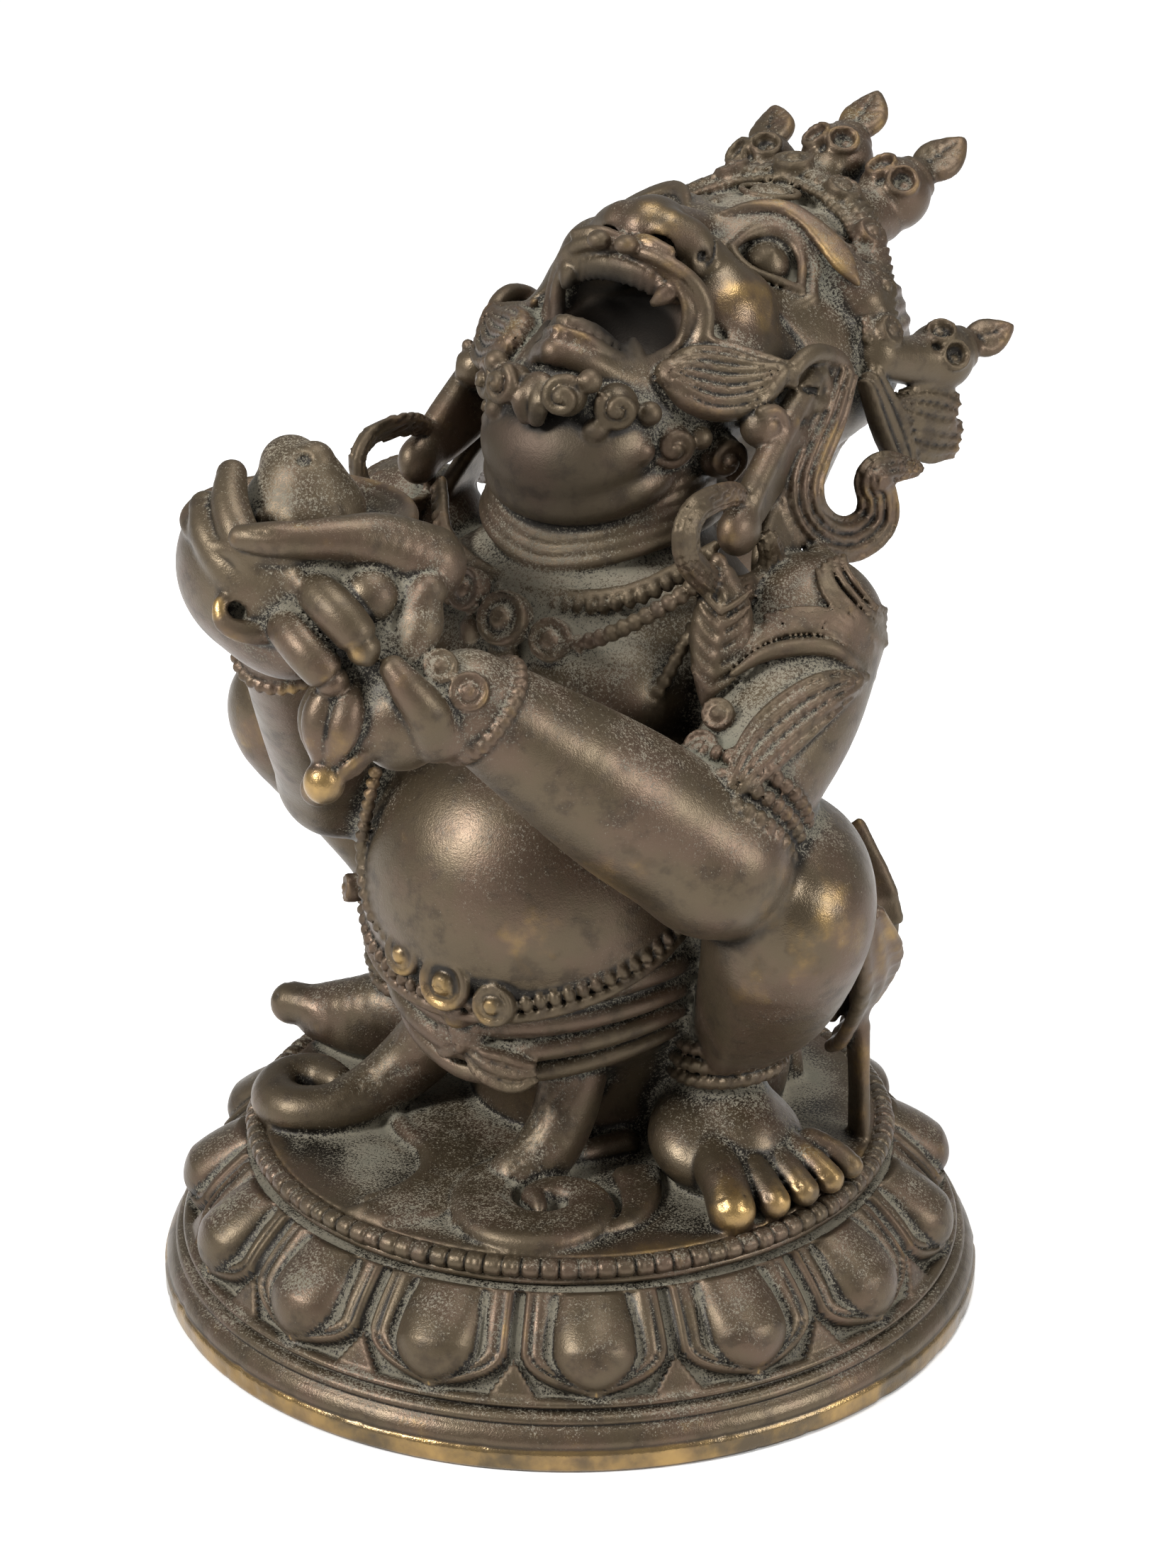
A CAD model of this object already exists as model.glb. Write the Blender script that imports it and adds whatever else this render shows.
"""Looks of a dark bronze Vajradaka burner: a squatting figure on a petalled base.

The figure is carved as a distance field, region by region, and meshed from it. Lengths
are millimetres until a mesh is made. The figure's heights are from its plate's top.
"""

import math

import bpy
import numpy as np
from mathutils import Euler, Matrix, Vector


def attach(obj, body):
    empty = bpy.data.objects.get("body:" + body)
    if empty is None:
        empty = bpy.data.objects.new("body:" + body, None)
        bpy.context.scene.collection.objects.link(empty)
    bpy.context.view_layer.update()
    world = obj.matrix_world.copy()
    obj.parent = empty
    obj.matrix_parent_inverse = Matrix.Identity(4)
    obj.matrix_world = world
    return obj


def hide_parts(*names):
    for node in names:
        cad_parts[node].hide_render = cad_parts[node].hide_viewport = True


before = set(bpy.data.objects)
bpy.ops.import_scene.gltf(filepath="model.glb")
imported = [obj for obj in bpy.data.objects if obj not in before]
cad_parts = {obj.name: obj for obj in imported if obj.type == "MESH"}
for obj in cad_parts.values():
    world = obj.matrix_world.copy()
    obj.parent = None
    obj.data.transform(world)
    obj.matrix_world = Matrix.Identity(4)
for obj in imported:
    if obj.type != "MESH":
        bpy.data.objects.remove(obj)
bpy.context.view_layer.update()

MM = 0.001
# The plate's top above the ground, and the distance that stands for nothing near
LIFT = 22.0
FAR = 6.0
SIDES = (1, -1)
RANDOM = np.random.default_rng(27)


# Curves

def curve(points, steps=4):
    """Points on a Catmull-Rom curve through rows of numbers, as an array."""
    rows = np.array(points, float)
    rows = np.vstack([2 * rows[0] - rows[1], rows, 2 * rows[-1] - rows[-2]])
    made = []
    for i in range(1, len(rows) - 2):
        a, b, c, d = rows[i - 1:i + 3]
        for step in range(steps):
            t = step / steps
            made.append(0.5 * (2 * b + (c - a) * t + (2 * a - 5 * b + 4 * c - d) * t * t
                               + (3 * b - a - 3 * c + d) * t ** 3))
    made.append(rows[-2])
    return np.array(made)


def spaced(points, step):
    """Points an even distance apart along a curve, with the direction there."""
    path = curve(points, 10)
    legs = np.linalg.norm(np.diff(path[:, :3], axis=0), axis=1)
    run = np.concatenate([[0], np.cumsum(legs)])
    count = max(1, int(round(run[-1] / step)))
    stops = np.linspace(0, run[-1], count + 1)
    spots = np.stack([np.interp(stops, run, path[:, i]) for i in range(path.shape[1])], 1)
    heads = np.gradient(spots[:, :3], axis=0) if count > 0 else np.zeros((1, 3))
    heads /= np.linalg.norm(heads, axis=1, keepdims=True) + 1e-9
    return spots, heads


def unit(v):
    v = np.asarray(v, float)
    return v / (np.linalg.norm(v) + 1e-12)


def square_to(normal, hint=(0.0, 0.0, 1.0)):
    """Two directions square to the normal, the second as near the hint as can be."""
    n = unit(normal)
    h = np.asarray(hint, float)
    if abs(n @ unit(h)) > 0.97:
        h = np.array([0.0, 1.0, 0.0])
    up = unit(h - n * (h @ n))
    return np.cross(up, n), up


def flip(point, side):
    """A point, or a point with its size, on one side of the figure."""
    return (point[0] * side, *point[1:])


def mirrored(points, side):
    return [flip(p, side) for p in points]


def flat_to(points, facing, side):
    """Directions across a band that turn its flat towards facing, for a band then mirrored."""
    heads = np.gradient(np.array(points)[:, :3], axis=0)
    return [tuple(flip(np.cross(unit(head), facing), side)) for head in heads]


def angles(start, end, step):
    """Radians for each step of degrees, from start to end."""
    return [math.radians(degree) for degree in range(start, end + 1, step)]


def shifted(point, dx=0.0, dy=0.0, dz=0.0):
    return (point[0] + dx, point[1] + dy, point[2] + dz)


def between(a, b, share):
    return tuple(p + (q - p) * share for p, q in zip(a, b))


def spiral(centre, normal, size, turns=1.6, start=0.0, thick=0.8, dome=1.0, hint=(0, 0, 1), way=1):
    """Rod points (x, y, z, radius) that wind in to a raised middle."""
    across, up = square_to(normal, hint)
    n = unit(normal)
    made = []
    count = max(6, int(9 * turns))
    for i in range(count + 1):
        t = i / count
        angle = start + way * turns * math.tau * t
        reach = size * (1 - t) ** 0.85 * 0.98 + 0.02 * size
        spot = (np.array(centre) + across * reach * math.cos(angle)
                + up * reach * math.sin(angle) + n * dome * t)
        made.append((*spot, thick * (1 - 0.25 * t)))
    return made


# The distance field

class Field:
    """A box of distances, negative inside, that forms are added to and cut from."""

    def __init__(self, low, high, cell):
        self.low = np.array(low, float)
        self.cell = cell
        count = np.ceil((np.array(high, float) - self.low) / cell).astype(int) + 1
        self.axes = [(self.low[i] + cell * np.arange(count[i])).astype(np.float32) for i in range(3)]
        self.dist = np.full(count, FAR, np.float32)
        self.draft = np.full(count, FAR, np.float32)
        self.span = None

    def window(self, low, high):
        """The part of the box between two corners: slices and its coordinates."""
        a = np.maximum(0, np.floor((np.asarray(low) - self.low) / self.cell).astype(int))
        b = np.minimum(self.dist.shape, np.ceil((np.asarray(high) - self.low) / self.cell).astype(int) + 1)
        if (a >= b).any():
            return None
        cut = tuple(slice(i, j) for i, j in zip(a, b))
        x = self.axes[0][cut[0]][:, None, None]
        y = self.axes[1][cut[1]][None, :, None]
        z = self.axes[2][cut[2]][None, None, :]
        return cut, x, y, z

    def put(self, cut, value):
        """Lay a form's distances in the draft, nearest first."""
        np.minimum(self.draft[cut], value, out=self.draft[cut])
        if self.span is None:
            self.span = [[s.start, s.stop] for s in cut]
        else:
            for have, s in zip(self.span, cut):
                have[0] = min(have[0], s.start)
                have[1] = max(have[1], s.stop)

    def take(self):
        """The draft's window and values; the draft is cleared."""
        if self.span is None:
            return None
        cut = tuple(slice(a, b) for a, b in self.span)
        values = self.draft[cut].copy()
        self.draft[cut] = FAR
        self.span = None
        return cut, values

    def join(self, soft=0.6):
        """Add the draft to the field, the meeting line smoothed over a width."""
        got = self.take()
        if got is None:
            return
        cut, form = got
        here = self.dist[cut]
        blend = np.maximum(soft - np.abs(here - form), 0)
        self.dist[cut] = np.minimum(here, form) - blend * blend / (4 * soft)

    def cut_away(self, soft=0.4):
        """Take the draft out of the field, the new edge smoothed over a width."""
        got = self.take()
        if got is None:
            return
        cut, form = got
        here = self.dist[cut]
        blend = np.maximum(soft - np.abs(here + form), 0)
        self.dist[cut] = np.maximum(here, -form) + blend * blend / (4 * soft)

    def score(self, depth, width):
        """Press a line in (or raise it, with a depth below 0) along the draft's centre."""
        got = self.take()
        if got is None:
            return
        cut, form = got
        share = np.clip(1 - (form / width) ** 2, 0, 1)
        self.dist[cut] += depth * share * share

    # Forms, each laid in the draft

    def round_about(self, centre, reach):
        """The window round a centre, with coordinates counted from it."""
        got = self.window(np.array(centre) - reach, np.array(centre) + reach)
        if got is None:
            return None
        cut, x, y, z = got
        return cut, x - centre[0], y - centre[1], z - centre[2]

    def lay_ball(self, centre, size, turn=None, axes=None, margin=1.6):
        """A ball, or an ellipsoid with three sizes, turned by degrees or set on three axes."""
        radii = np.array(size if isinstance(size, (tuple, list)) else (size,) * 3, float)
        got = self.round_about(centre, radii.max() + margin)
        if got is None:
            return
        cut, x, y, z = got
        if turn is not None:
            m = np.array(Euler([math.radians(a) for a in turn]).to_matrix())
            axes = m.T
        if axes is not None:
            m = np.asarray(axes, np.float32)
            x, y, z = (m[i, 0] * x + m[i, 1] * y + m[i, 2] * z for i in range(3))
        r = radii.astype(np.float32)
        k0 = np.sqrt((x / r[0]) ** 2 + (y / r[1]) ** 2 + (z / r[2]) ** 2)
        k1 = np.sqrt((x / r[0] ** 2) ** 2 + (y / r[1] ** 2) ** 2 + (z / r[2] ** 2) ** 2)
        self.put(cut, k0 * (k0 - 1) / (k1 + 1e-6))

    def lay_rod(self, points, steps=4, margin=1.6, smooth=True):
        """A round rod through points (x, y, z, radius), curved unless smooth is off."""
        path = curve(points, steps) if smooth and len(points) > 2 else np.array(points, float)
        for a, b in zip(path, path[1:]):
            wide = max(a[3], b[3], 0) + margin
            low = np.minimum(a[:3], b[:3]) - wide
            high = np.maximum(a[:3], b[:3]) + wide
            got = self.window(low, high)
            if got is None:
                continue
            cut, x, y, z = got
            x, y, z = x - np.float32(a[0]), y - np.float32(a[1]), z - np.float32(a[2])
            way = (b - a)[:3]
            length = float(way @ way) + 1e-9
            w = np.asarray(way, np.float32)
            along = (x * w[0] + y * w[1] + z * w[2]) / np.float32(length)
            t = np.clip(along, 0, 1)
            gap = x * x + y * y + z * z + t * (t - 2 * along) * np.float32(length)
            self.put(cut, np.sqrt(np.maximum(gap, 0)) - (a[3] + t * np.float32(b[3] - a[3])))

    def lay_strap(self, points, across, thick, steps=4, ridges=0, rise=0.25, margin=1.5,
                  crown=0.0, edge=None, shape=None):
        """A flat band: points (x, y, z, half width). across is one direction or one per point.

        ridges runs that many raised cords along it, crown swells its middle, and edge
        raises or sinks its rim by that much.
        """
        path = curve(points, steps)
        sides = np.array(across, float)
        if sides.ndim == 1:
            sides = np.repeat(sides[None], len(points), 0)
        sides = curve(sides, steps)
        total = len(path) - 1
        for i, (a, b) in enumerate(zip(path, path[1:])):
            way = (b - a)[:3]
            length = np.linalg.norm(way) + 1e-9
            way = way / length
            side = 0.5 * (sides[i] + sides[i + 1])
            side = unit(side - way * (side @ way))
            flat = np.cross(way, side)
            wide = max(a[3], b[3]) + thick + margin
            low = np.minimum(a[:3], b[:3]) - wide
            high = np.maximum(a[:3], b[:3]) + wide
            got = self.window(low, high)
            if got is None:
                continue
            cut, x, y, z = got
            x, y, z = x - np.float32(a[0]), y - np.float32(a[1]), z - np.float32(a[2])
            w, s, f = (np.asarray(v, np.float32) for v in (way, side, flat))
            run = x * w[0] + y * w[1] + z * w[2]
            u = x * s[0] + y * s[1] + z * s[2]
            v = x * f[0] + y * f[1] + z * f[2]
            t = np.clip(run / np.float32(length), 0, 1)
            beyond = run - t * np.float32(length)
            half = a[3] + t * np.float32(b[3] - a[3])
            share = np.clip(u / np.maximum(half, 0.05), -1, 1)
            bevel = np.minimum(thick / 2, half)
            swell = 0.0
            if ridges:
                swell = swell + rise * (np.cos(share * np.float32(math.pi * ridges)) - 0.3)
            if crown:
                swell = swell + crown * (1 - share * share)
            if edge is not None:
                swell = swell + edge * np.clip((np.abs(share) - 0.68) / 0.2, 0, 1)
            if shape is not None:
                swell = swell + shape(share, (i + t) / total)
            over = np.maximum(np.abs(u) - (half - bevel), 0)
            self.put(cut, np.sqrt(over * over + v * v + beyond * beyond) - bevel - swell)

    def lay_ring(self, centre, normal, size, thick, squash=1.0, hint=(0, 0, 1)):
        """A ring; squash below 1 makes it an oval, short along the hint."""
        got = self.round_about(centre, size + thick + 1.5)
        if got is None:
            return
        cut, x, y, z = got
        n = unit(normal).astype(np.float32)
        across, up = (np.asarray(v, np.float32) for v in square_to(normal, hint))
        h = x * n[0] + y * n[1] + z * n[2]
        u = x * across[0] + y * across[1] + z * across[2]
        v = (x * up[0] + y * up[1] + z * up[2]) / np.float32(squash)
        ring = np.sqrt(u * u + v * v) - size
        self.put(cut, np.sqrt(ring * ring + h * h) - thick)

    def lay_disc(self, centre, normal, size, thick, rim=0.3):
        """A flat round disc with a rounded rim."""
        got = self.round_about(centre, size + thick + 1.5)
        if got is None:
            return
        cut, x, y, z = got
        n = unit(normal).astype(np.float32)
        h = x * n[0] + y * n[1] + z * n[2]
        far = np.sqrt(np.maximum(x * x + y * y + z * z - h * h, 0))
        a = far - (size - rim)
        b = np.abs(h) - (thick / 2 - rim)
        value = np.sqrt(np.maximum(a, 0) ** 2 + np.maximum(b, 0) ** 2) + np.minimum(np.maximum(a, b),
                                                                                    0) - rim
        self.put(cut, value)

    # The same, joined at once

    def ball(self, centre, size, turn=None, soft=0.6, axes=None):
        self.lay_ball(centre, size, turn, axes, margin=soft + 1.2)
        self.join(soft)

    def rod(self, points, soft=0.6, steps=4, smooth=True):
        self.lay_rod(points, steps, margin=soft + 1.2, smooth=smooth)
        self.join(soft)

    def strap(self, points, across, thick, soft=0.4, **more):
        self.lay_strap(points, across, thick, margin=soft + 1.2, **more)
        self.join(soft)

    def ring(self, centre, normal, size, thick, soft, **more):
        self.lay_ring(centre, normal, size, thick, **more)
        self.join(soft)

    def dent(self, centre, size, soft, axes=None):
        """A hollow the shape of a ball."""
        self.lay_ball(centre, size, axes=axes)
        self.cut_away(soft)

    def line(self, points, depth=0.3, width=0.45, steps=4, smooth=True):
        """An engraved line."""
        self.lay_rod([(*p[:3], 0.0) for p in points], steps, margin=width + 0.6, smooth=smooth)
        self.score(depth, width)

    def beads(self, points, size, step, soft=0.25, squash=1.0):
        """A string of beads, a little shorter along the string than across when squash is over 1."""
        spots, heads = spaced(points, step)
        for spot, head in zip(spots, heads):
            across, up = square_to(head)
            self.lay_ball(spot[:3], (size / squash, size, size), axes=np.array([head, across, up]),
                          margin=1.0)
        self.join(soft)

    def boss(self, centre, normal, size, height=1.2, soft=0.3):
        """A round stud: a disc, a rim, a ring and a dot."""
        n = unit(normal)
        top = np.array(centre) + n * height / 2
        self.lay_disc(centre, normal, size, height, rim=min(0.3, height * 0.3))
        self.join(soft)
        self.ring(top, normal, size * 0.86, size * 0.13, 0.15)
        self.lay_ball(top - n * 0.1, size * 0.42)
        self.join(0.15)
        self.dent(top + n * size * 0.42, size * 0.2, 0.15)

    def twist(self, points, size, step, soft=0.25, lean=0.9):
        """A twisted rope: short slanting grains along a curve."""
        spots, heads = spaced(points, step)
        for spot, head in zip(spots, heads):
            across, up = square_to(head)
            slant = unit(head + lean * up * 0.8)
            side = unit(np.cross(slant, across))
            self.lay_ball(spot[:3], (size * 1.25, size, size * 0.75), axes=np.array([slant, across, side]),
                          margin=1.0)
        self.join(soft)

    # Meshing

    def soften(self, size):
        """Round off the small kinks where plain forms meet."""
        self.dist = self.blurred(size)

    def blurred(self, size):
        """The field, held to a near range, averaged over a cube of about this half size."""
        reach = max(1, int(round(size / self.cell)))
        values = np.clip(self.dist, -1.6, 1.6)
        for axis in range(3):
            pad = [(0, 0)] * 3
            pad[axis] = (reach + 1, reach)
            run = np.cumsum(np.pad(values, pad, mode="edge"), axis=axis, dtype=np.float64)
            width = 2 * reach + 1
            ahead = np.take(run, range(width, run.shape[axis]), axis=axis)
            behind = np.take(run, range(0, run.shape[axis] - width), axis=axis)
            values = ((ahead - behind) / width).astype(np.float32)
        return values

    def sample(self, values, spots):
        """Trilinear reading of a grid at points."""
        g = (spots - self.low) / self.cell
        g = np.clip(g, 0, np.array(values.shape) - 1.001)
        i = g.astype(int)
        f = (g - i).astype(np.float32)
        total = 0
        for dx in (0, 1):
            for dy in (0, 1):
                for dz in (0, 1):
                    weight = (np.abs(1 - dx - f[:, 0]) * np.abs(1 - dy - f[:, 1]) * np.abs(1 - dz - f[:, 2]))
                    total = total + weight * values[i[:, 0] + dx, i[:, 1] + dy, i[:, 2] + dz]
        return total

    def skin(self):
        """Vertices and triangles of the zero surface, by surface nets."""
        d = self.dist
        inside = d < 0
        nx, ny, nz = d.shape
        mixed = np.zeros((nx - 1, ny - 1, nz - 1), bool)
        first = inside[:-1, :-1, :-1]
        for dx in (0, 1):
            for dy in (0, 1):
                for dz in (0, 1):
                    mixed |= inside[dx:nx - 1 + dx, dy:ny - 1 + dy, dz:nz - 1 + dz] != first
        cells = np.argwhere(mixed)
        corner = np.array([(a, b, c) for a in (0, 1) for b in (0, 1) for c in (0, 1)])
        value = np.stack([d[cells[:, 0] + a, cells[:, 1] + b, cells[:, 2] + c] for a, b, c in corner], 1)
        sums = np.zeros((len(cells), 3), np.float32)
        hits = np.zeros(len(cells), np.float32)
        for i in range(8):
            for j in range(i + 1, 8):
                if np.abs(corner[i] - corner[j]).sum() != 1:
                    continue
                a, b = value[:, i], value[:, j]
                cross = (a < 0) != (b < 0)
                t = np.where(cross, a / np.where(cross, a - b, 1), 0)
                spot = corner[i] + t[:, None] * (corner[j] - corner[i])
                sums += np.where(cross[:, None], spot, 0)
                hits += cross
        places = (cells + sums / hits[:, None]) * self.cell + self.low
        index = np.full(mixed.shape, -1, np.int32)
        index[tuple(cells.T)] = np.arange(len(cells))
        faces = []
        for axis in range(3):
            others = [k for k in range(3) if k != axis]
            a = [slice(None)] * 3
            b = [slice(None)] * 3
            a[axis] = slice(0, -1)
            b[axis] = slice(1, None)
            start, end = inside[tuple(a)], inside[tuple(b)]
            edge = np.argwhere(start != end)
            for k in others:
                edge = edge[(edge[:, k] > 0) & (edge[:, k] < d.shape[k] - 1)]
            out = start[tuple(edge.T)]
            u, v = others
            ring = []
            for du, dv in ((-1, -1), (0, -1), (0, 0), (-1, 0)):
                c = edge.copy()
                c[:, u] += du
                c[:, v] += dv
                ring.append(index[tuple(c.T)])
            ring = np.stack(ring, 1)
            turn = out if axis != 1 else ~out
            ring[~turn] = ring[~turn][:, ::-1]
            faces.append(ring)
        quads = np.concatenate(faces)
        quads = quads[(quads >= 0).all(1)]
        return places, quads


# The figure's landmarks, as in the solids

LEFT_KNEE = (36.5, -8.5, 40.0)
RIGHT_KNEE = (-37.0, -5.5, 48.0)
LEFT_ELBOW = (31.0, -18.0, 49.5)
RIGHT_ELBOW = (-24.0, -15.0, 46.0)
LEFT_WRIST = (11.5, -39.0, 72.5)
RIGHT_WRIST = (-16.5, -37.0, 73.5)
SHOULDER = (28.5, 8.5, 68.5)
CUP = (-13.0, -37.0, 84.5)
CUP_RADIUS = 14.4
RIGHT_BICEPS = (-29, -2, 58)
VAJRA_TOP = (7.0, -40.0, 85.0)
VAJRA_FOOT = (-1.0, -51.0, 62.8)
PLATE_EDGE = 38.7
PLATE_CUT = -5.2


def turn_about(middle, axis_from, axis_to, reach, height_hint=(0, 0, 1), start=0, end=360, step=15):
    """Points on a circle round the line between two points."""
    axis = unit(np.array(axis_to) - np.array(axis_from))
    across, up = square_to(axis, height_hint)
    made = []
    for a in angles(start, end, step):
        made.append(tuple(np.array(middle) + reach * (across * math.cos(a) + up * math.sin(a))))
    return made


# Body

def torso(f):
    """Hips, chest, neck and the great round belly."""
    f.ball((0, 9, 15), (24, 18, 17), soft=3)
    f.ball((0, -3, 20), (19, 18.5, 10), soft=3)
    f.rod([(0, 5, -1, 15.0), (0, 5, 8, 16.0), (0, 4, 18, 17.0)], soft=3)
    f.ball((0, 11, 60), (23, 13, 18), soft=4)
    f.ball((0, 2, 62), (24, 16, 16), soft=4)
    f.rod([(0, 6, 64, 15), (0, 8, 74, 13.0), (0, 10, 84, 12.0)], soft=4)
    f.ball((0, 9.5, 86.0), (11.5, 11.5, 8.5), soft=1.5)
    f.ball((0, -7.5, 37), (22, 22.0, 21), soft=1.2)
    for x in (-9, 9):
        f.ball((x, -9.5, 63), (10, 6, 6), soft=3)


def waist_cloth(f):
    """Folds of the loincloth under the belly, front to back."""
    rows = ((29.5, 20.5, 18.6, 1.5), (26.2, 21.4, 20.2, 1.7), (22.6, 21.0, 20.8, 1.6),
            (19.0, 20.0, 20.6, 1.5), (15.4, 18.4, 19.6, 1.3))
    for height, reach, depth, size in rows:
        fold = []
        for a in angles(-95, 95, 19):
            sag = 2.4 * abs(math.sin(a)) - 0.8 * math.cos(2 * a)
            fold.append((reach * math.sin(a), -2.6 - depth * math.cos(a), height + sag, size))
        f.rod(fold, soft=0.7)
    for height, reach, depth in ((27.8, 22.0, 20.6), (24.4, 22.2, 22.0), (20.8, 21.6, 22.2)):
        seam = []
        for a in angles(-90, 90, 18):
            seam.append((reach * math.sin(a), -2.6 - depth * math.cos(a), height + 2.4 * abs(math.sin(a))))
        f.line(seam, 0.35, 0.6)


def back_cloth(f):
    """Plainer folds of cloth down the unseen back."""
    f.ball((0, 12, 6), (23, 17, 20), soft=3)
    for i in range(9):
        a = math.radians(38 + i * 13)
        x, y = math.cos(a), math.sin(a)
        f.rod([(17 * x, 10 + 11 * y, 31, 1.4), (22 * x, 12 + 15.6 * y, 15, 1.9),
               (23.6 * x, 12 + 17 * y, 0, 2.3)], soft=1.2)
    f.rod([(-22, 6, 30, 2.2), (-12, 20, 31, 2.6), (0, 24, 31.5, 2.8), (12, 20, 31, 2.6), (22, 6, 30, 2.2)],
          soft=1.0)
    for x in (-7, -2.4, 2.4, 7):
        f.line([(x, 22 + 0.4 * abs(x), 72), (x * 1.2, 24.5, 60), (x * 1.1, 24, 46)], 0.5, 1.0)


def legs(f):
    """Both squatting legs, hip to knee to ankle."""
    f.rod([(14, 8, 24, 12), (28, 2, 39, 10.5), (*LEFT_KNEE, 10.4), (31.5, -4.5, 27.5, 8.6),
           (24, 0.5, 17.5, 5.9), (21.5, 2, 12, 5.6)], soft=1.6, steps=6)
    f.ball((37.2, -11.5, 41.5), (6.4, 5.4, 6.8), soft=3)
    f.rod([(36, -16, 34, 1.5), (30, -10.5, 22, 1.4), (25, -5.0, 15, 1.0)], soft=3.0)
    f.rod([(-14, 8, 24, 12), (-28, 4, 42, 10.5), (*RIGHT_KNEE, 8.8), (-30, -3, 37, 6.8),
           (-25, -0.5, 27, 5.6), (-22, 1.5, 12, 5.4)], soft=1.6, steps=6)
    f.ball((-38.5, -8.0, 50.5), (5.4, 5.0, 5.6), soft=3)


TOE_FULLNESS = 1.16


def toes(f, bases, tips, sizes, normal):
    """A row of toes, each with a nail and two creases on its upper side, the normal's."""
    for base, tip, size in zip(bases, tips, sizes):
        knuckle = between(base, tip, 0.55)
        size = size * TOE_FULLNESS
        f.rod([(*base, size + 0.4), (*shifted(knuckle, dz=0.6), size), (*tip, size * 1.02)], soft=0.3)
        way = unit(np.array(tip) - np.array(base))
        top = np.array(tip) + way * size * 0.35 + np.array(normal) * size * 0.78
        side = unit(np.cross(way, normal))
        nail = []
        for a in angles(-120, 120, 40):
            nail.append(tuple(top + side * size * 0.55 * math.sin(a) - way * size * 0.55 * math.cos(a)))
        f.line(nail, 0.34, 0.45, steps=2)
        for share in (0.42, 0.52):
            spot = np.array(between(base, tip, share)) + np.array(normal) * size * 1.1
            f.line([spot - side * size * 0.7, spot, spot + side * size * 0.7], 0.2, 0.35)


def left_foot(f):
    """The foot planted flat on the plate, in front."""
    f.rod([(15, 3, 4, 4.6), (22, 0, 6.5, 6.0), (28, -3.5, 4.5, 5.2)], soft=1.5)
    f.ball((25, -3, 4), (9.5, 10, 5.2), turn=(0, 20, -25), soft=2.0)
    shares = (0.0, 0.27, 0.52, 0.76, 1.0)
    bases = [between((27.0, -9.0, 4.0), (34.5, 1.5, 4.0), s) for s in shares]
    tips = [(33.2, -15.2, 1.9), (36.4, -10.6, 1.9), (38.0, -6.2, 1.9), (39.2, -2.0, 2.0), (39.6, 2.4, 2.0)]
    toes(f, bases, tips, (2.5, 1.75, 1.65, 1.55, 1.4), (0.15, -0.15, 0.95))
    f.line([(17, 7, 8), (14.5, 2, 4.5), (17, -3, 2.0)], 0.3, 0.6)


def right_foot(f):
    """The foot behind, turned out to the figure's right."""
    f.rod([(-17, 4, 5, 5.0), (-24, 1, 7, 5.8), (-31, -1.5, 6, 4.6), (-37, -2.5, 4.8, 3.6)], soft=1.5)
    f.ball((-31, 1.5, 3.2), (9, 7.5, 3.8), soft=2.0)
    bases = [between((-34, -3.5, 4.6), (-33, 7, 3.2), i / 4) for i in range(5)]
    tips = [(-40.8, -3.6, 5.4), (-40.4, -0.4, 3.6), (-39.4, 2.8, 2.6), (-38.2, 5.8, 2.2), (-36.5, 8.5, 2.1)]
    toes(f, bases, tips, (2.4, 1.8, 1.7, 1.6, 1.4), (-0.3, -0.3, 0.9))


def anklets(f):
    """Three twisted rings above each foot."""
    for side, spot in ((1, (22.6, 1.1)), (-1, (-22.4, 1.0))):
        for row, height in enumerate((12.4, 14.6, 16.8)):
            ring = []
            for a in angles(0, 360, 20):
                reach = 6.7 + (0.25 if row == 1 else 0)
                ring.append((spot[0] + side * row * 0.35 + reach * math.cos(a),
                             spot[1] + reach * math.sin(a), height + 0.8 * math.cos(a) * side))
            f.twist(ring, 1.05, 1.45, soft=0.2)


def hem(f):
    """Thin cloth behind the left knee and the flat post under it."""
    across = (0.35, 0.5, 0.75)
    f.strap([(43.5, -1, 38, 2.2), (41.5, 5, 28, 4.4), (35.5, 11, 18, 4.8), (31, 14, 13, 3.2)], across, 1.6,
            ridges=3, rise=0.18)
    f.strap([(30, 12, 40, 5), (36, 11, 30, 5), (33, 13, 18, 4)], (0.3, 0.6, 0.6), 1.8, ridges=2, rise=0.2)
    f.strap([(35, 11.5, 17, 2.2), (34.6, 13.0, 8, 1.9), (34.5, 13.6, -1, 2.0)], (0.7, -0.4, 0), 1.8)
    f.rod([(38, 6, 25, 1.0), (36.5, 9, 21, 1.2), (35, 12, 14, 1.2)], soft=0.6)
    f.strap([(-30, 12, 42, 5), (-36, 9, 32, 5), (-33, 12, 20, 4)], (-0.3, 0.6, 0.6), 1.8, ridges=2, rise=0.2)


def plate_top(f):
    """The plate's upper face, as a slab under everything that stands on it."""
    got = f.window((-PLATE_EDGE - 2, -PLATE_EDGE - 2, -4), (PLATE_EDGE + 2, PLATE_EDGE + 2, 2.5))
    if got is None:
        return
    cut, x, y, z = got
    f.put(cut, np.maximum(np.sqrt(x * x + y * y) - np.float32(PLATE_EDGE), z))
    f.join(0.5)


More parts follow.
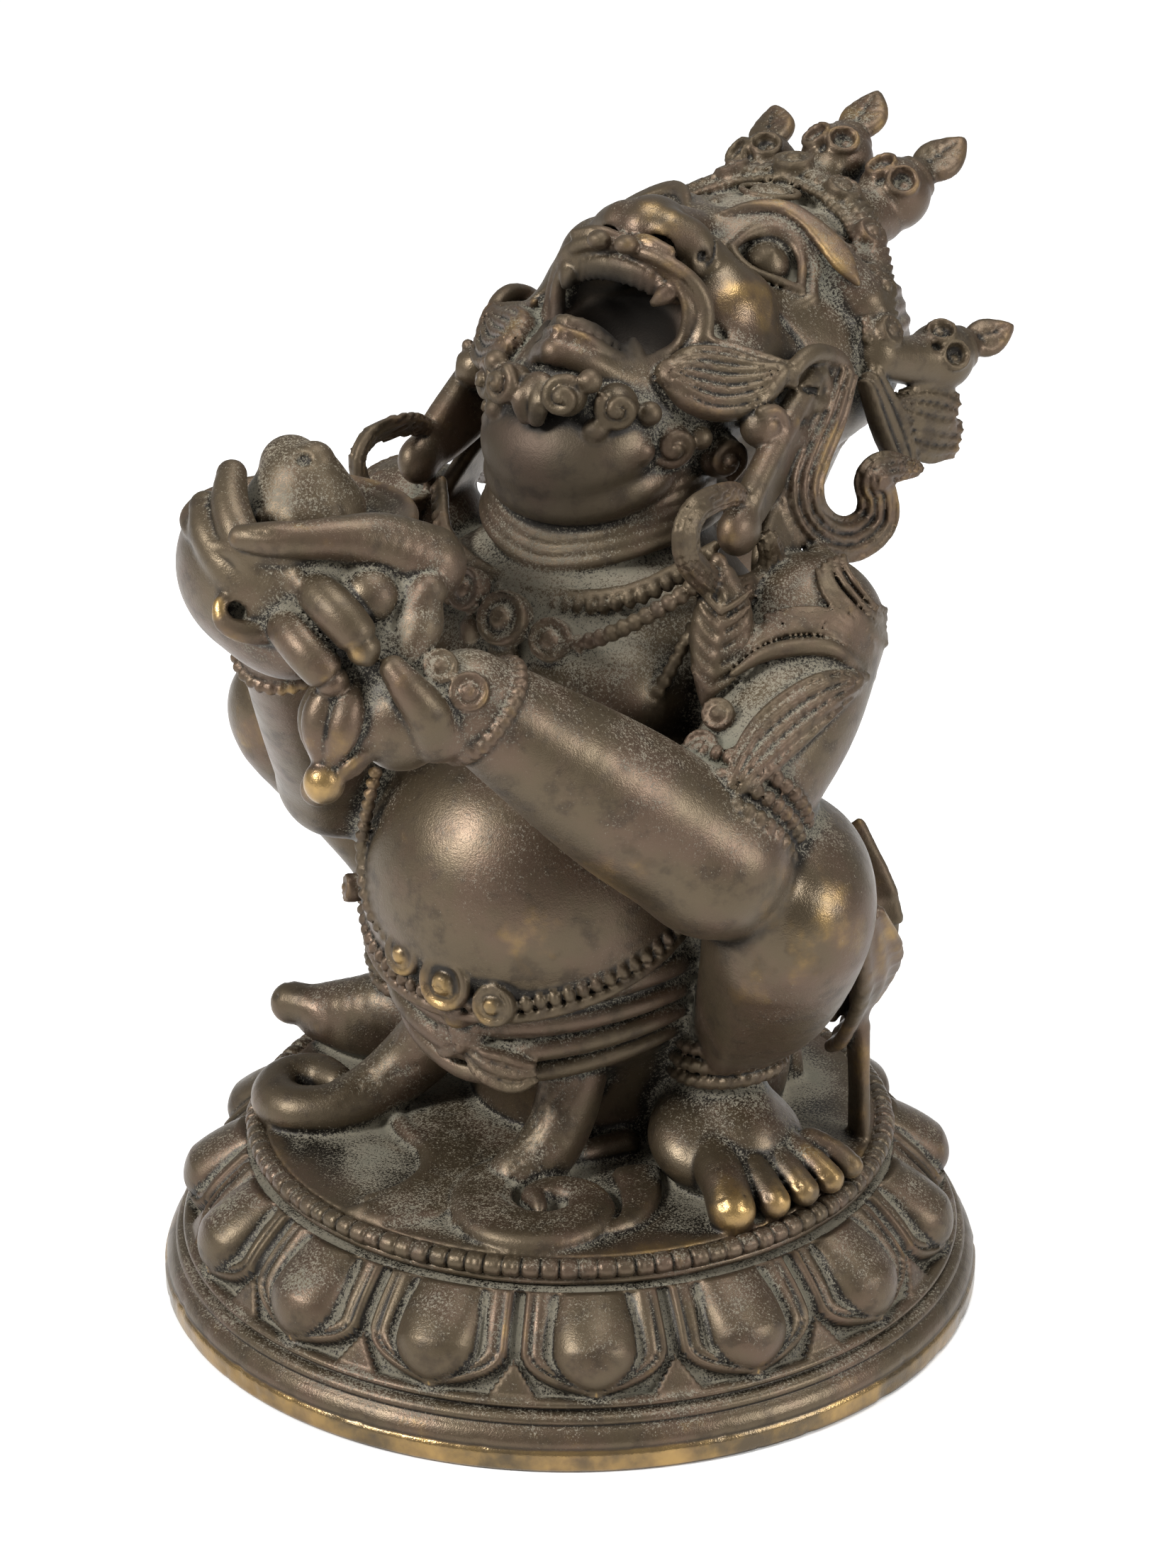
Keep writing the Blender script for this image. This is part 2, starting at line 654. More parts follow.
def animal_skin(f):
    """The flayed skin: a rolled paw, a leg with a curled paw, a pointed tail, and its edge."""
    f.strap([(-12, 2, 0.2, 9), (-6, -9, 0.3, 11), (-3.5, -16, 0.2, 8), (-1.5, -23, 0.1, 5.2),
             (-1, -30, 0, 5.0), (-4, -36, -0.2, 3.0), (-8.0, -37.6, -0.4, 0.4)], (1, 0.2, 0), 2.2, soft=0.5,
            crown=0.25)
    f.rod([(-18, -14, 0.2, 1.5), (-13, -17.5, 0.3, 1.3), (-8, -20, 0.2, 1.2), (-4.6, -24, 0.1, 1.1),
           (-4.4, -29, 0.1, 1.0), (-7.2, -34, 0, 0.9)], soft=0.6)
    f.rod([(12, -6, 0.8, 2.0), (4.5, -19, 0.3, 1.5), (3.0, -26, 0.2, 1.3), (5.5, -33, 0.1, 1.1)], soft=0.6)
    # Rolled paw at the right foot
    paw = [(-8.5, -8, 17, 4.8), (-13.5, -9.5, 11, 4.6), (-17, -11.5, 6.5, 4.2), (-19.5, -15, 3.6, 3.9),
           (-22.5, -20, 2.0, 3.5), (-27, -22.3, 1.6, 3.4), (-31.0, -20.6, 1.6, 3.3),
           (-32.0, -16.8, 2.0, 3.2), (-29.0, -14.4, 2.6, 2.9), (-25.4, -15.2, 3.0, 2.3)]
    f.rod(paw, soft=0.5)
    f.line([(-20.5, -11.5, 6.2), (-23, -15.5, 5.4), (-26.5, -18.6, 5.0), (-29.6, -18.0, 5.0)], 0.5, 0.6)
    for shift in (0.0, 1.6, 3.2):
        f.line([(-27.6 - shift * 0.5, -14.6 + shift * 0.3, 5.8), (-28.2 - shift * 0.7, -16.4, 5.6)], 0.3,
               0.4)
    strokes(f, paw[:5], 4.2, 26, (-0.25, -0.6, 0.75))
    # Middle leg and its flat curled paw
    leg = [(7.5, -8.5, 18, 4.4), (7.8, -11.2, 12, 4.2), (7.8, -13.6, 7, 4.0), (7.0, -16.6, 3.0, 3.9),
           (5.2, -20.0, 0.8, 3.6)]
    f.rod(leg, soft=0.6)
    strokes(f, leg, 4.0, 44, (0.0, -0.85, 0.5))
    curl = [(5.6, -18.0, 0.6, 3.4), (3.6, -23.0, 0.4, 3.6), (5.6, -28.6, 0.4, 4.0), (11.0, -31.6, 0.4, 4.3),
            (16.6, -29.6, 0.4, 4.0), (18.4, -24.4, 0.5, 3.3), (15.6, -20.4, 0.6, 2.6),
            (11.8, -20.8, 0.7, 2.2), (10.2, -23.6, 0.7, 1.7), (12.0, -25.6, 0.7, 1.1)]
    sides = [(-y, x, 0.0) for x, y in np.gradient(np.array(curl)[:, :2], axis=0)]
    f.strap(curl, sides, 2.6, soft=0.35, crown=0.5, steps=6)
    f.line([(8.0, -20.0, 1.6), (6.4, -23.6, 1.6), (8.4, -27.4, 1.6), (12.2, -28.0, 1.6), (14.8, -25.6, 1.6),
            (14.0, -23.0, 1.6), (11.8, -23.2, 1.6)], 0.55, 0.55)
    for i in range(4):
        a = math.radians(-50 + i * 34)
        f.line([(15.6 + 2.2 * math.cos(a), -25.4 + 2.6 * math.sin(a), 1.9),
                (16.8 + 2.6 * math.cos(a + 0.3), -25.0 + 3.0 * math.sin(a + 0.3), 1.8)], 0.25, 0.4)
    # Tail of the skin towards the left foot
    f.strap([(17, -11, 0.3, 3.0), (20.5, -15.5, 0.3, 2.6), (22.5, -21.0, 0.2, 1.6), (21.8, -26.0, 0, 0.3)],
            (1, 0.4, 0), 1.8, soft=0.5, crown=0.3)


def strokes(f, path, reach, count, facing):
    """Short engraved hairs over a limb's seen side."""
    spots, heads = spaced(path, 0.9)
    for _ in range(count * 2):
        k = RANDOM.integers(0, len(spots))
        head = heads[k]
        n = unit(np.array(facing) - head * (np.array(facing) @ head))
        side = np.cross(head, n)
        a = RANDOM.uniform(-1.1, 1.1)
        out = n * math.cos(a) + side * math.sin(a)
        size = spots[k][3] if len(spots[k]) > 3 else reach
        spot = spots[k][:3] + out * size
        f.line([spot - head * 0.8, spot + head * 0.8], 0.22, 0.34, smooth=False)


def belt(f):
    """Beaded cord under the belly, three ringed bosses, a knot and pendants."""
    loop = []
    for a in angles(-100, 100, 20):
        loop.append((21.8 * math.sin(a), -7.0 - 20.4 * math.cos(a), 26.8 + 9.0 * (1 - math.cos(a))))
    f.beads(loop, 1.15, 1.75, squash=1.5)
    f.rod([(*shifted(p, dz=-1.9), 0.7) for p in loop], soft=0.4)
    f.boss((0.6, -27.6, 29.3), (0, -1, 0.15), 3.5, 2.6)
    f.boss((-6.0, -26.8, 31.0), (-0.2, -1, 0.15), 2.7, 2.4)
    f.boss((6.8, -26.8, 27.6), (0.2, -1, 0.15), 2.7, 2.4)
    f.ball((0.8, -24.6, 24.6), (3.0, 2.4, 2.2))
    f.rod([(-1.4, -25.6, 25.0, 1.1), (0.8, -26.6, 24.0, 1.3), (3.0, -25.8, 24.8, 1.1)], soft=0.3)
    f.ball((1.2, -24.2, 21.0), (2.2, 1.8, 2.6))
    f.beads([(-0.8, -25.0, 22.6), (0.8, -25.8, 19.4), (2.8, -25.0, 22.4)], 0.7, 1.2)
    bow = [(1.4, -24.4, 19.4, 1.2), (4.0, -25.0, 18.0, 2.5), (7.4, -24.2, 17.2, 2.8),
           (9.4, -23.2, 17.4, 1.6)]
    f.strap(bow, (0, 0.15, 1), 1.8, ridges=3, rise=0.3)
    f.strap([(-0.4, -24.0, 19.6, 1.0), (-2.6, -23.8, 18.6, 1.9), (-4.2, -23.0, 18.2, 1.0)], (0, 0.15, 1),
            1.6, ridges=2, rise=0.3)
    f.beads([(-12.6, -23.5, 52), (-13.8, -24.0, 46), (-14.6, -23.9, 41), (-12.8, -25.2, 35),
             (-8.4, -26.6, 31.4)], 0.95, 1.45, squash=1.3)
    f.boss((-16.8, -23.0, 35.5), (-0.7, -0.7, 0.1), 1.8, 1.6)


def neck(f):
    """A full throat, fine creases under it and two strings of beads."""
    f.ball((0, 0.6, 90.6), (11.4, 10.4, 7.6), turn=(28, 0, 0), soft=1.4)
    f.ball((0, 3.0, 86.0), (12.4, 11.2, 5.4), turn=(14, 0, 0), soft=1.2)
    for i in range(6):
        reach, height = 12.2 + i * 0.42, 82.8 - i * 1.35
        roll = []
        for a in angles(-110, 110, 22):
            roll.append((reach * math.sin(a), 8.6 - i * 0.25 - reach * 0.97 * math.cos(a),
                         height + 3.6 * abs(math.sin(a)) ** 1.5, 0.85))
        f.rod(roll, soft=0.5)
    f.rod([(-20, 2, 80, 0.7), (-12.6, -6.2, 76.0, 0.7), (0, -8.4, 73.4, 0.7), (12.6, -6.8, 75.4, 0.7),
           (20, 1, 80, 0.7)], soft=0.3)
    f.beads([(-20, 1.4, 79), (-12.8, -6.6, 74.8), (0, -9.0, 72.2), (12.8, -7.2, 74.2), (20, 0.4, 79)], 1.15,
            1.6, squash=1.45)


def chest_jewels(f):
    """A chain with three bosses and drops, and the string that ends in a knot."""
    chain = [(-22, -4.6, 75), (-15, -9.6, 72.4), (-9.4, -11.8, 71.6)]
    f.beads(chain, 1.15, 1.6, squash=1.3)
    f.beads([(8.0, -12.2, 69.0), (14, -11.6, 72.0), (20.5, -7.6, 76.6), (23, -3, 80)], 1.15, 1.6, squash=1.3)
    f.boss((-0.2, -13.6, 71.2), (0, -0.88, 0.48), 3.4, 2.4)
    f.boss((-6.0, -12.6, 73.4), (-0.25, -0.88, 0.45), 2.7, 2.2)
    f.boss((5.8, -12.8, 69.6), (0.25, -0.88, 0.45), 2.7, 2.2)
    f.ball((0, -14.2, 65.2), (2.5, 1.9, 4.0), soft=0.3)
    for x in (-1.1, 0, 1.1):
        f.line([(x * 0.5, -15.6, 68.2), (x, -16.2, 65.0), (x * 0.5, -15.4, 62.0)], 0.22, 0.4)
    f.ball((-5.4, -13.2, 68.6), (1.5, 1.2, 2.0), soft=0.3)
    f.ball((5.0, -13.4, 64.6), (1.5, 1.2, 2.0), soft=0.3)
    f.beads([(21, -5.6, 72), (19.4, -8.8, 66.4), (17.2, -11.2, 61.4), (16.4, -12.4, 58.6)], 0.95, 1.4,
            squash=1.2)
    f.boss((15.6, -14.0, 57), (0.3, -0.95, 0.1), 3.2, 3.0)
    f.rod([(11.8, -13.6, 59.6, 1.0), (13.4, -14.4, 60.6, 1.1), (15.6, -14.0, 60.8, 1.0)], soft=0.3)
    f.strap([(19.5, -9.6, 56.6, 1.4), (22.5, -9.8, 53.6, 2.6), (24, -10.2, 49.6, 2.0)], (1, 0, 0.4), 1.4,
            ridges=3, rise=0.22)


def strands(f, rows, between_rows, size, side):
    """Fine raised cords, combed from one drawn row to the next."""
    for one, two in zip(rows, rows[1:]):
        for i in range(between_rows):
            share = i / between_rows
            path = [between(p, q, share) for p, q in zip(one, two)]
            f.rod(mirrored([(*p, size) for p in path], side), soft=0.12)
    f.rod(mirrored([(*p, size) for p in rows[-1]], side), soft=0.12)


def scarves(f):
    """A pleated scarf over each shoulder, its leaf-shaped end, and a plume on the chest."""
    lower = (
        ((27.6, -6.0, 69.7), (29.9, -3.7, 71.7), (32.7, -1.3, 72.7), (35.6, 1.0, 72.2), (37.4, 3.2, 69.7),
         (37.9, 6.4, 66.5)),
        ((27.8, -4.0, 71.3), (30.0, -1.8, 73.1), (32.3, -0.2, 73.8), (35.2, 2.0, 73.3), (37.1, 3.8, 71.1),
         (37.9, 7.0, 67.8)),
        ((28.5, -1.4, 73.6), (30.8, 0.0, 74.4), (32.7, 1.3, 74.6), (34.7, 2.6, 74.2), (36.9, 4.4, 72.0),
         (37.9, 7.6, 69.0)))
    upper = (
        ((31.5, 5.5, 77.8), (33.8, 3.7, 75.6), (36.4, 4.1, 73.4), (37.8, 7.7, 70.3), (37.4, 12.0, 67.6)),
        ((31.5, 8.3, 78.2), (33.4, 5.5, 77.0), (35.8, 5.1, 75.0), (37.4, 7.3, 72.1), (37.0, 12.0, 69.6)),
        ((32.2, 10.4, 78.2), (33.9, 8.4, 77.4), (35.9, 8.0, 75.6), (37.0, 9.6, 73.2), (36.4, 13.4, 71.2)))
    for side in SIDES:
        front = [(28.0, -7.9, 68.4, 0.5), (30.3, -5.4, 70.4, 0.9), (33.0, -3.1, 71.2, 1.05),
                 (36.1, 0.1, 70.8, 1.05), (37.6, 2.4, 68.8, 0.9), (38.0, 5.5, 66.0, 0.6)]
        f.rod(mirrored(front, side), soft=0.3)
        strands(f, lower, 2, 0.46, side)
        strands(f, upper, 2, 0.46, side)
        end = [(38.9, 4.6, 66.0, 0.5), (38.2, -2.2, 66.6, 2.3), (36.9, -7.2, 65.4, 3.0),
               (35.6, -12.0, 63.2, 3.0), (34.8, -16.0, 60.6, 2.0), (34.4, -19.0, 58.4, 0.4)]
        path = np.array(end)[:, :3]
        a, b = np.array(SHOULDER), np.array(LEFT_ELBOW)
        away = path - (a + ((path - a) @ (b - a) / ((b - a) @ (b - a)))[:, None] * (b - a))
        heads = np.gradient(path, axis=0)
        sides = [tuple(unit(np.cross(out, head)) * (side, 1, 1)) for out, head in zip(away, heads)]
        f.strap(mirrored(end, side), sides, 2.4, soft=0.25, ridges=4, rise=0.36, steps=6)
        back = [(26, 15, 75, 2.0), (30, 16.6, 70, 2.6), (30.8, 17.8, 62, 2.2), (30.5, 17.6, 56.0, 0.8)]
        f.rod(mirrored(back, side), soft=1.2)
        plume = [(24.2, -3.4, 77.8, 1.4), (24.6, -4.6, 75.2, 3.3), (24.9, -5.6, 71.4, 3.7),
                 (24.7, -6.8, 67.6, 2.6), (24.4, -8.0, 64.4, 0.5)]
        f.strap(mirrored(plume, side), (0.86 * side, 0.45, 0.1), 2.4, soft=0.4, crown=0.7)
        f.rod(mirrored([(25.0, -5.6, 77.4, 0.4), (25.9, -7.4, 71.6, 0.5), (25.2, -9.0, 65.0, 0.3)], side),
              soft=0.2)
        for i in range(6):
            z = 76.6 - i * 1.9
            y = -6.2 - i * 0.42
            for way in (-1, 1):
                rib = [(25.6, y - 0.6, z - 1.2, 0.42), (25.6 + way * 1.5, y + 0.1 + way * 0.7, z - 0.1,
                                                        0.45), (25.4 + way * 2.6, y + 0.9 + way * 1.3,
                                                                z + 1.1, 0.3)]
                f.rod(mirrored(rib, side), soft=0.2)


def arms(f):
    """Both arms, shoulder to elbow to wrist."""
    f.rod([(*SHOULDER, 9.5), (31, -1, 61, 8.6), (*between(SHOULDER, LEFT_ELBOW, 0.85), 8.2),
           (*LEFT_ELBOW, 8.4)], soft=2.0, steps=6)
    f.rod([(*LEFT_ELBOW, 9.0), (*between(LEFT_ELBOW, LEFT_WRIST, 0.35), 9.0),
           (*between(LEFT_ELBOW, LEFT_WRIST, 0.75), 7.2), (*LEFT_WRIST, 5.8)], soft=1.6, steps=6)
    f.ball(shifted(LEFT_ELBOW, 1.4, -0.4, -0.8), (8.2, 8.0, 7.6), soft=3)
    shoulder = shifted(flip(SHOULDER, -1), dz=1)
    f.rod([(*shoulder, 9.5), (*RIGHT_BICEPS, 8.2), (*RIGHT_ELBOW, 7.6)], soft=2.0, steps=6)
    f.rod([(*RIGHT_ELBOW, 7.6), (*between(RIGHT_ELBOW, RIGHT_WRIST, 0.45), 6.7), (*RIGHT_WRIST, 5.1)],
          soft=1.4, steps=6)


def arm_rings(f):
    """Beaded rings above the elbows and at the wrists, with their bosses."""
    rings = ((LEFT_ELBOW, SHOULDER, (0.10, 0.185, 0.27), 8.9),
             (RIGHT_ELBOW, RIGHT_BICEPS, (0.40, 0.485), 7.9))
    for low, high, shares, reach in rings:
        for share in shares:
            f.beads(turn_about(between(low, high, share), low, high, reach), 1.1, 1.55, squash=1.4)
    for spot, size in (((28.4, -11.8, 64.8), 2.0), ((28.2, -15.2, 61.8), 2.1), ((26.4, -17.6, 58.8), 1.8)):
        f.boss(spot, (0.2, -0.85, 0.5), size, 1.2)
    f.boss((14.2, -42.6, 75.2), (0.48, -0.72, 0.5), 2.3, 1.4)
    f.boss((10.6, -42.9, 77.6), (0.42, -0.72, 0.55), 2.0, 1.4)
    for elbow, wrist, share, reach in ((LEFT_ELBOW, LEFT_WRIST, 0.93, 6.4),
                                       (RIGHT_ELBOW, RIGHT_WRIST, 0.92, 5.6)):
        f.beads(turn_about(between(elbow, wrist, share), elbow, wrist, reach), 0.9, 1.3, squash=1.2)
    f.boss((-27.6, -19.6, 50.6), (-0.45, -0.85, 0.2), 2.4, 2.2)


def vajra_and_hand(f):
    """The left fist round the thunderbolt, closed lobed heads at both ends."""
    f.rod([(*VAJRA_TOP, 2.1), (*VAJRA_FOOT, 2.1)], smooth=False)
    top, foot = np.array((1.2, -47.2, 75.4)), np.array((0.8, -51.0, 66.8))
    axis = unit(foot - top)
    across, forth = square_to(axis, (1, 0, 0))
    for i in range(6):
        a = i * math.tau / 6 + 0.3
        out = across * math.cos(a) + forth * math.sin(a)
        lobe = [(*(top + out * 1.4), 1.3), (*(between(top, foot, 0.35) + out * 2.9), 2.0),
                (*(between(top, foot, 0.65) + out * 2.8), 2.0), (*(foot + out * 0.9), 1.4)]
        f.rod(lobe, soft=0.3)
        groove = across * math.cos(a + 0.52) + forth * math.sin(a + 0.52)
        f.line([between(top, foot, 0.15) + groove * 3.4, between(top, foot, 0.5) + groove * 4.4,
                between(top, foot, 0.9) + groove * 2.6], 0.35, 0.5)
    f.ball((0.9, -52.4, 64.6), (2.4, 2.4, 2.6), soft=0.35)
    f.strap([(5.6, -49.0, 68.8, 0.6), (4.2, -51.0, 66.8, 1.6), (2.4, -52.4, 65.0, 0.5)], (0.2, -0.6, 0.75),
            1.2, soft=0.3)
    f.ball((6.0, -44.6, 70.4), (5.4, 5.2, 6.0), turn=(20, 0, 20), soft=1.2)
    f.ball((2.0, -43.0, 76.4), (6.4, 5.0, 6.0), soft=1.5)
    f.rod([(10.6, -41.6, 70.4, 4.6), (8.6, -43.6, 72.6, 4.2)], soft=1.2, smooth=False)
    f.ball((1.4, -43.6, 84.3), (3.6, 3.4, 3.5), soft=0.4)
    f.ball((4.8, -39.6, 83.2), (3.0, 3.0, 3.6), soft=0.5)
    f.rod([(5.8, -39.4, 83.6, 2.2), (7.0, -41.5, 81.2, 2.5), (6.6, -43.7, 78.6, 2.1)], soft=0.35)
    f.rod([(2.4, -41.6, 80.6, 3.2), (4.4, -43.6, 78.0, 3.0)], soft=0.5, smooth=False)
    f.line([(3.8, -42.6, 85.6), (4.9, -43.8, 82.0), (4.8, -45.6, 79.2)], 0.6, 0.6)
    f.ball((6.2, -38.2, 85.4), 2.15, soft=0.25)
    for knuckles in ([(-5.0, -44.0, 82.7, 2.3), (-3.6, -47.0, 85.0, 2.5), (0.2, -48.8, 84.2, 2.65),
                      (3.0, -49.0, 82.2, 2.5), (4.2, -48.9, 80.4, 2.0)],
                     [(-7.1, -46.2, 79.0, 2.3), (-5.6, -49.5, 80.9, 2.5), (-2.2, -51.3, 79.9, 2.6),
                      (0.3, -51.4, 77.9, 2.4), (1.2, -50.8, 76.4, 1.9)]):
        f.rod(knuckles, soft=0.35)
        spot = np.array(knuckles[-1][:3])
        way = unit(spot - np.array(knuckles[-2][:3]))
        f.ball(spot + way * 1.2, 1.0, soft=0.3)
        f.lay_ring(spot - way * 0.6, way, knuckles[-1][3] + 0.4, 0.5)
        f.cut_away(0.4)
    f.rod([(10.6, -43.8, 69.9, 3.6), (10.9, -46.2, 73.2, 2.7), (9.2, -47.6, 76.4, 2.1),
           (7.5, -47.8, 78.3, 1.6)], soft=0.4)
    nail = [(8.2, -49.3, 76.6), (7.0, -49.3, 77.4), (6.6, -49.0, 78.6), (7.2, -48.8, 79.6)]
    f.line(nail, 0.3, 0.4)
    f.rod([(-6.1, -47.4, 87.6, 1.3), (-4.9, -48.0, 86.0, 1.5)], soft=0.3, smooth=False)


def cup_and_hand(f):
    """The right hand round a skull bowl and its heaped offering."""
    x, y, z = CUP
    f.lay_ball((x, y, z - 1.0), (CUP_RADIUS, CUP_RADIUS, 12.4))
    f.join(0.8)
    f.lay_ball((x, y, z + 6.8), (CUP_RADIUS - 2.0, CUP_RADIUS - 2.0, 5.4))
    got = f.window((x - 18, y - 18, z + 3.6), (x + 18, y + 18, z + 16))
    if got is not None:
        cut = got[0]
        f.put(cut, np.broadcast_to(np.float32(z + 4.6) - got[3], f.dist[cut].shape))
    f.cut_away(0.5)
    f.ring((x, y, z + 4.4), (0, 0, 1), CUP_RADIUS - 1.5, 0.9, 0.4)
    f.ball((x + 0.4, y + 0.4, z + 5.4), (7.4, 6.8, 5.4), soft=1.2)
    f.ball((x + 0.2, y + 0.4, z + 8.2), (5.4, 5.0, 5.0), soft=1.2)
    f.ball((x - 2.0, y + 1.4, z + 9.9), (3.7, 3.6, 3.6), soft=0.5)
    f.ball((x + 1.7, y + 0.8, z + 11.2), 2.5, soft=0.3)
    f.dent((x + 2.0, y - 1.6, z + 12.4), (1.0, 0.9, 0.9), 0.3)
    f.ball((x + 1.6, y - 0.6, z + 11.6), 0.7, soft=0.2)
    for fold in ([(-10.5, -37.4, 94.9, 0.6), (-11.6, -40.4, 93.0, 0.8), (-13.8, -43.0, 90.6, 0.9)],
                 [(-9.6, -37.0, 94.6, 0.6), (-7.4, -38.4, 92.4, 0.8), (-5.6, -39.6, 90.0, 0.9)],
                 [(-10.8, -38.4, 94.4, 0.6), (-10.2, -41.0, 92.0, 0.8), (-10.0, -43.4, 90.0, 0.8)]):
        f.rod(fold, soft=0.5)
    f.ball((-10.5, -43.5, 79), (8.2, 6.0, 7.0), soft=1.4)
    f.rod([(-18.6, -42.2, 94.6, 1.8), (-16.4, -45.6, 92.6, 2.2), (-13.4, -47.9, 90.0, 2.4),
           (-10.8, -48.2, 87.2, 2.5), (-8.9, -46.1, 84.0, 2.4)], soft=0.4)
    f.rod([(-20.4, -45.0, 91.2, 1.9), (-17.8, -47.7, 89.2, 2.3), (-14.2, -49.0, 86.4, 2.5),
           (-11.4, -48.6, 83.6, 2.4), (-10.4, -46.4, 81.0, 2.4)], soft=0.4)
    for nail in ([(-19.4, -43.8, 95.0), (-18.0, -44.8, 94.4), (-17.0, -44.4, 95.0)],
                 [(-21.2, -46.6, 90.4), (-19.6, -47.5, 90.6), (-18.8, -46.8, 92.0)]):
        f.line(nail, 0.3, 0.4)
    f.rod([(4.0, -36.0, 86.4, 4.6), (0.9, -40.0, 89.4, 3.6), (-1.6, -43.6, 90.6, 2.8),
           (-4.8, -47.0, 91.0, 2.2), (-8.0, -49.4, 91.2, 2.0), (-11.0, -50.8, 91.2, 1.5)], soft=0.4)
    f.line([(-5.4, -49.4, 91.8), (-6.6, -50.4, 92.4), (-9.0, -51.2, 92.2), (-10.6, -51.6, 91.4),
            (-8.6, -51.6, 90.8), (-6.0, -50.4, 90.6), (-5.4, -49.4, 91.8)], 0.25, 0.35)
    f.rod([(-8.4, -48.4, 80.6, 1.8), (-9.1, -49.9, 80.0, 1.6), (-10.6, -51.5, 80.2, 1.4),
           (-12.4, -52.5, 81.3, 1.25), (-13.2, -52.2, 83.0, 0.9), (-13.0, -51.2, 83.8, 0.7)], soft=0.3)
    f.rod([(-12.9, -50.2, 83.2, 1.7), (-11.4, -49.0, 83.6, 1.7), (-9.6, -48.8, 82.0, 1.8)], soft=0.3)
    f.dent((-11.9, -51.0, 82.2), (1.3, 1.2, 1.2), 0.3)


# Head

EYE = (9.6, 30.6, 106.4)


def head_mass(f):
    """The skull, jaw, cheeks, nape and hair knot as plain forms."""
    f.ball((0, 32, 92), (19.5, 22, 15.5), soft=2)
    f.ball((0, 13, 92), (14.5, 17.0, 10.5), soft=2.5)
    f.ball((0, 7, 95), (10.0, 12.0, 8.0), soft=2.0)
    f.ball((0, 38, 91), (21.5, 20, 14.5), soft=3)
    f.ball((0, 38, 105.0), (13, 13, 4.0), soft=3)
    f.ball((0, 54, 89), (15, 12, 13.5), soft=4)
    f.rod([(0, 46, 84, 12), (0, 36, 74, 12), (0, 27, 62, 9), (0, 23, 50, 5)], soft=4)
    f.ball((0, 66.5, 86), (7.6, 7.6, 7.6), soft=1.0)
    for side in SIDES:
        f.ball((9.4 * side, 20.4, 101.6), (6.0, 7.0, 6.0), turn=(0, 10 * side, 0), soft=1.6)
        f.ball((12.0 * side, 16, 95.6), (6.0, 9, 6.4), soft=2.5)


def hair(f):
    """Combed hair from the crown's band to the knot at the back."""
    got = f.window((-28, 40, 70), (28, 64, 112))
    if got is not None:
        cut, x, y, z = got
        turn = np.arctan2(x, z - 86)
        comb = 0.16 * np.cos(turn * 44) + 0.10 * np.cos(turn * 22 + 1.0)
        f.dist[cut] += comb * smooth_step(40.6, 42.4, y) * smooth_step(62.5, 60.0, y) * smooth_step(74, 80, z)
    for reach in (7.0, 5.0, 2.8):
        f.lay_ring((0, 68.0 + (7.0 - reach) * 0.75, 86), (0, 1, 0.1), reach, 0.0)
        f.score(0.45, 0.7)
    f.ring((0, 62.2, 86.6), (0, 1, 0.1), 7.2, 1.1, 0.4)
    for x in (-8, -4, 0, 4, 8):
        f.line([(x, 56, 75), (x * 1.1, 45, 66), (x * 1.1, 34.5, 62), (x, 29.6, 50)], 0.5, 0.8)


# The mouth's far side is drawn in by these shares, as cast
FAR_LIP = 0.84
FAR_INNER_LIP = 0.86
LIPS = ((0, 11.8, 110.5, 0.8), (3.0, 10.9, 110.9, 0.9), (6.0, 11.0, 110.4, 0.95), (9.0, 11.6, 108.8, 1.0),
        (10.7, 12.3, 106.6, 1.1), (11.5, 12.2, 104.0, 1.2), (11.4, 11.2, 101.0, 1.35),
        (10.4, 8.8, 98.2, 1.6), (8.4, 5.0, 97.2, 1.8), (5.8, 1.6, 98.3, 1.8), (3.0, -1.0, 100.4, 1.8),
        (0, -2.8, 101.6, 1.8))
INNER_LIPS = ((0, 12.2, 109.7, 0.7), (3.0, 11.4, 109.9, 0.75), (6.0, 11.4, 109.2, 0.8),
              (8.5, 11.3, 107.5, 0.85), (9.9, 11.0, 104.9, 0.9), (9.8, 10.4, 101.5, 0.95),
              (8.7, 8.8, 99.6, 0.95), (7.2, 5.4, 99.0, 0.95), (5.2, 2.4, 100.3, 0.95),
              (3.0, -0.2, 102.6, 0.95), (0, -2.2, 103.9, 0.95))


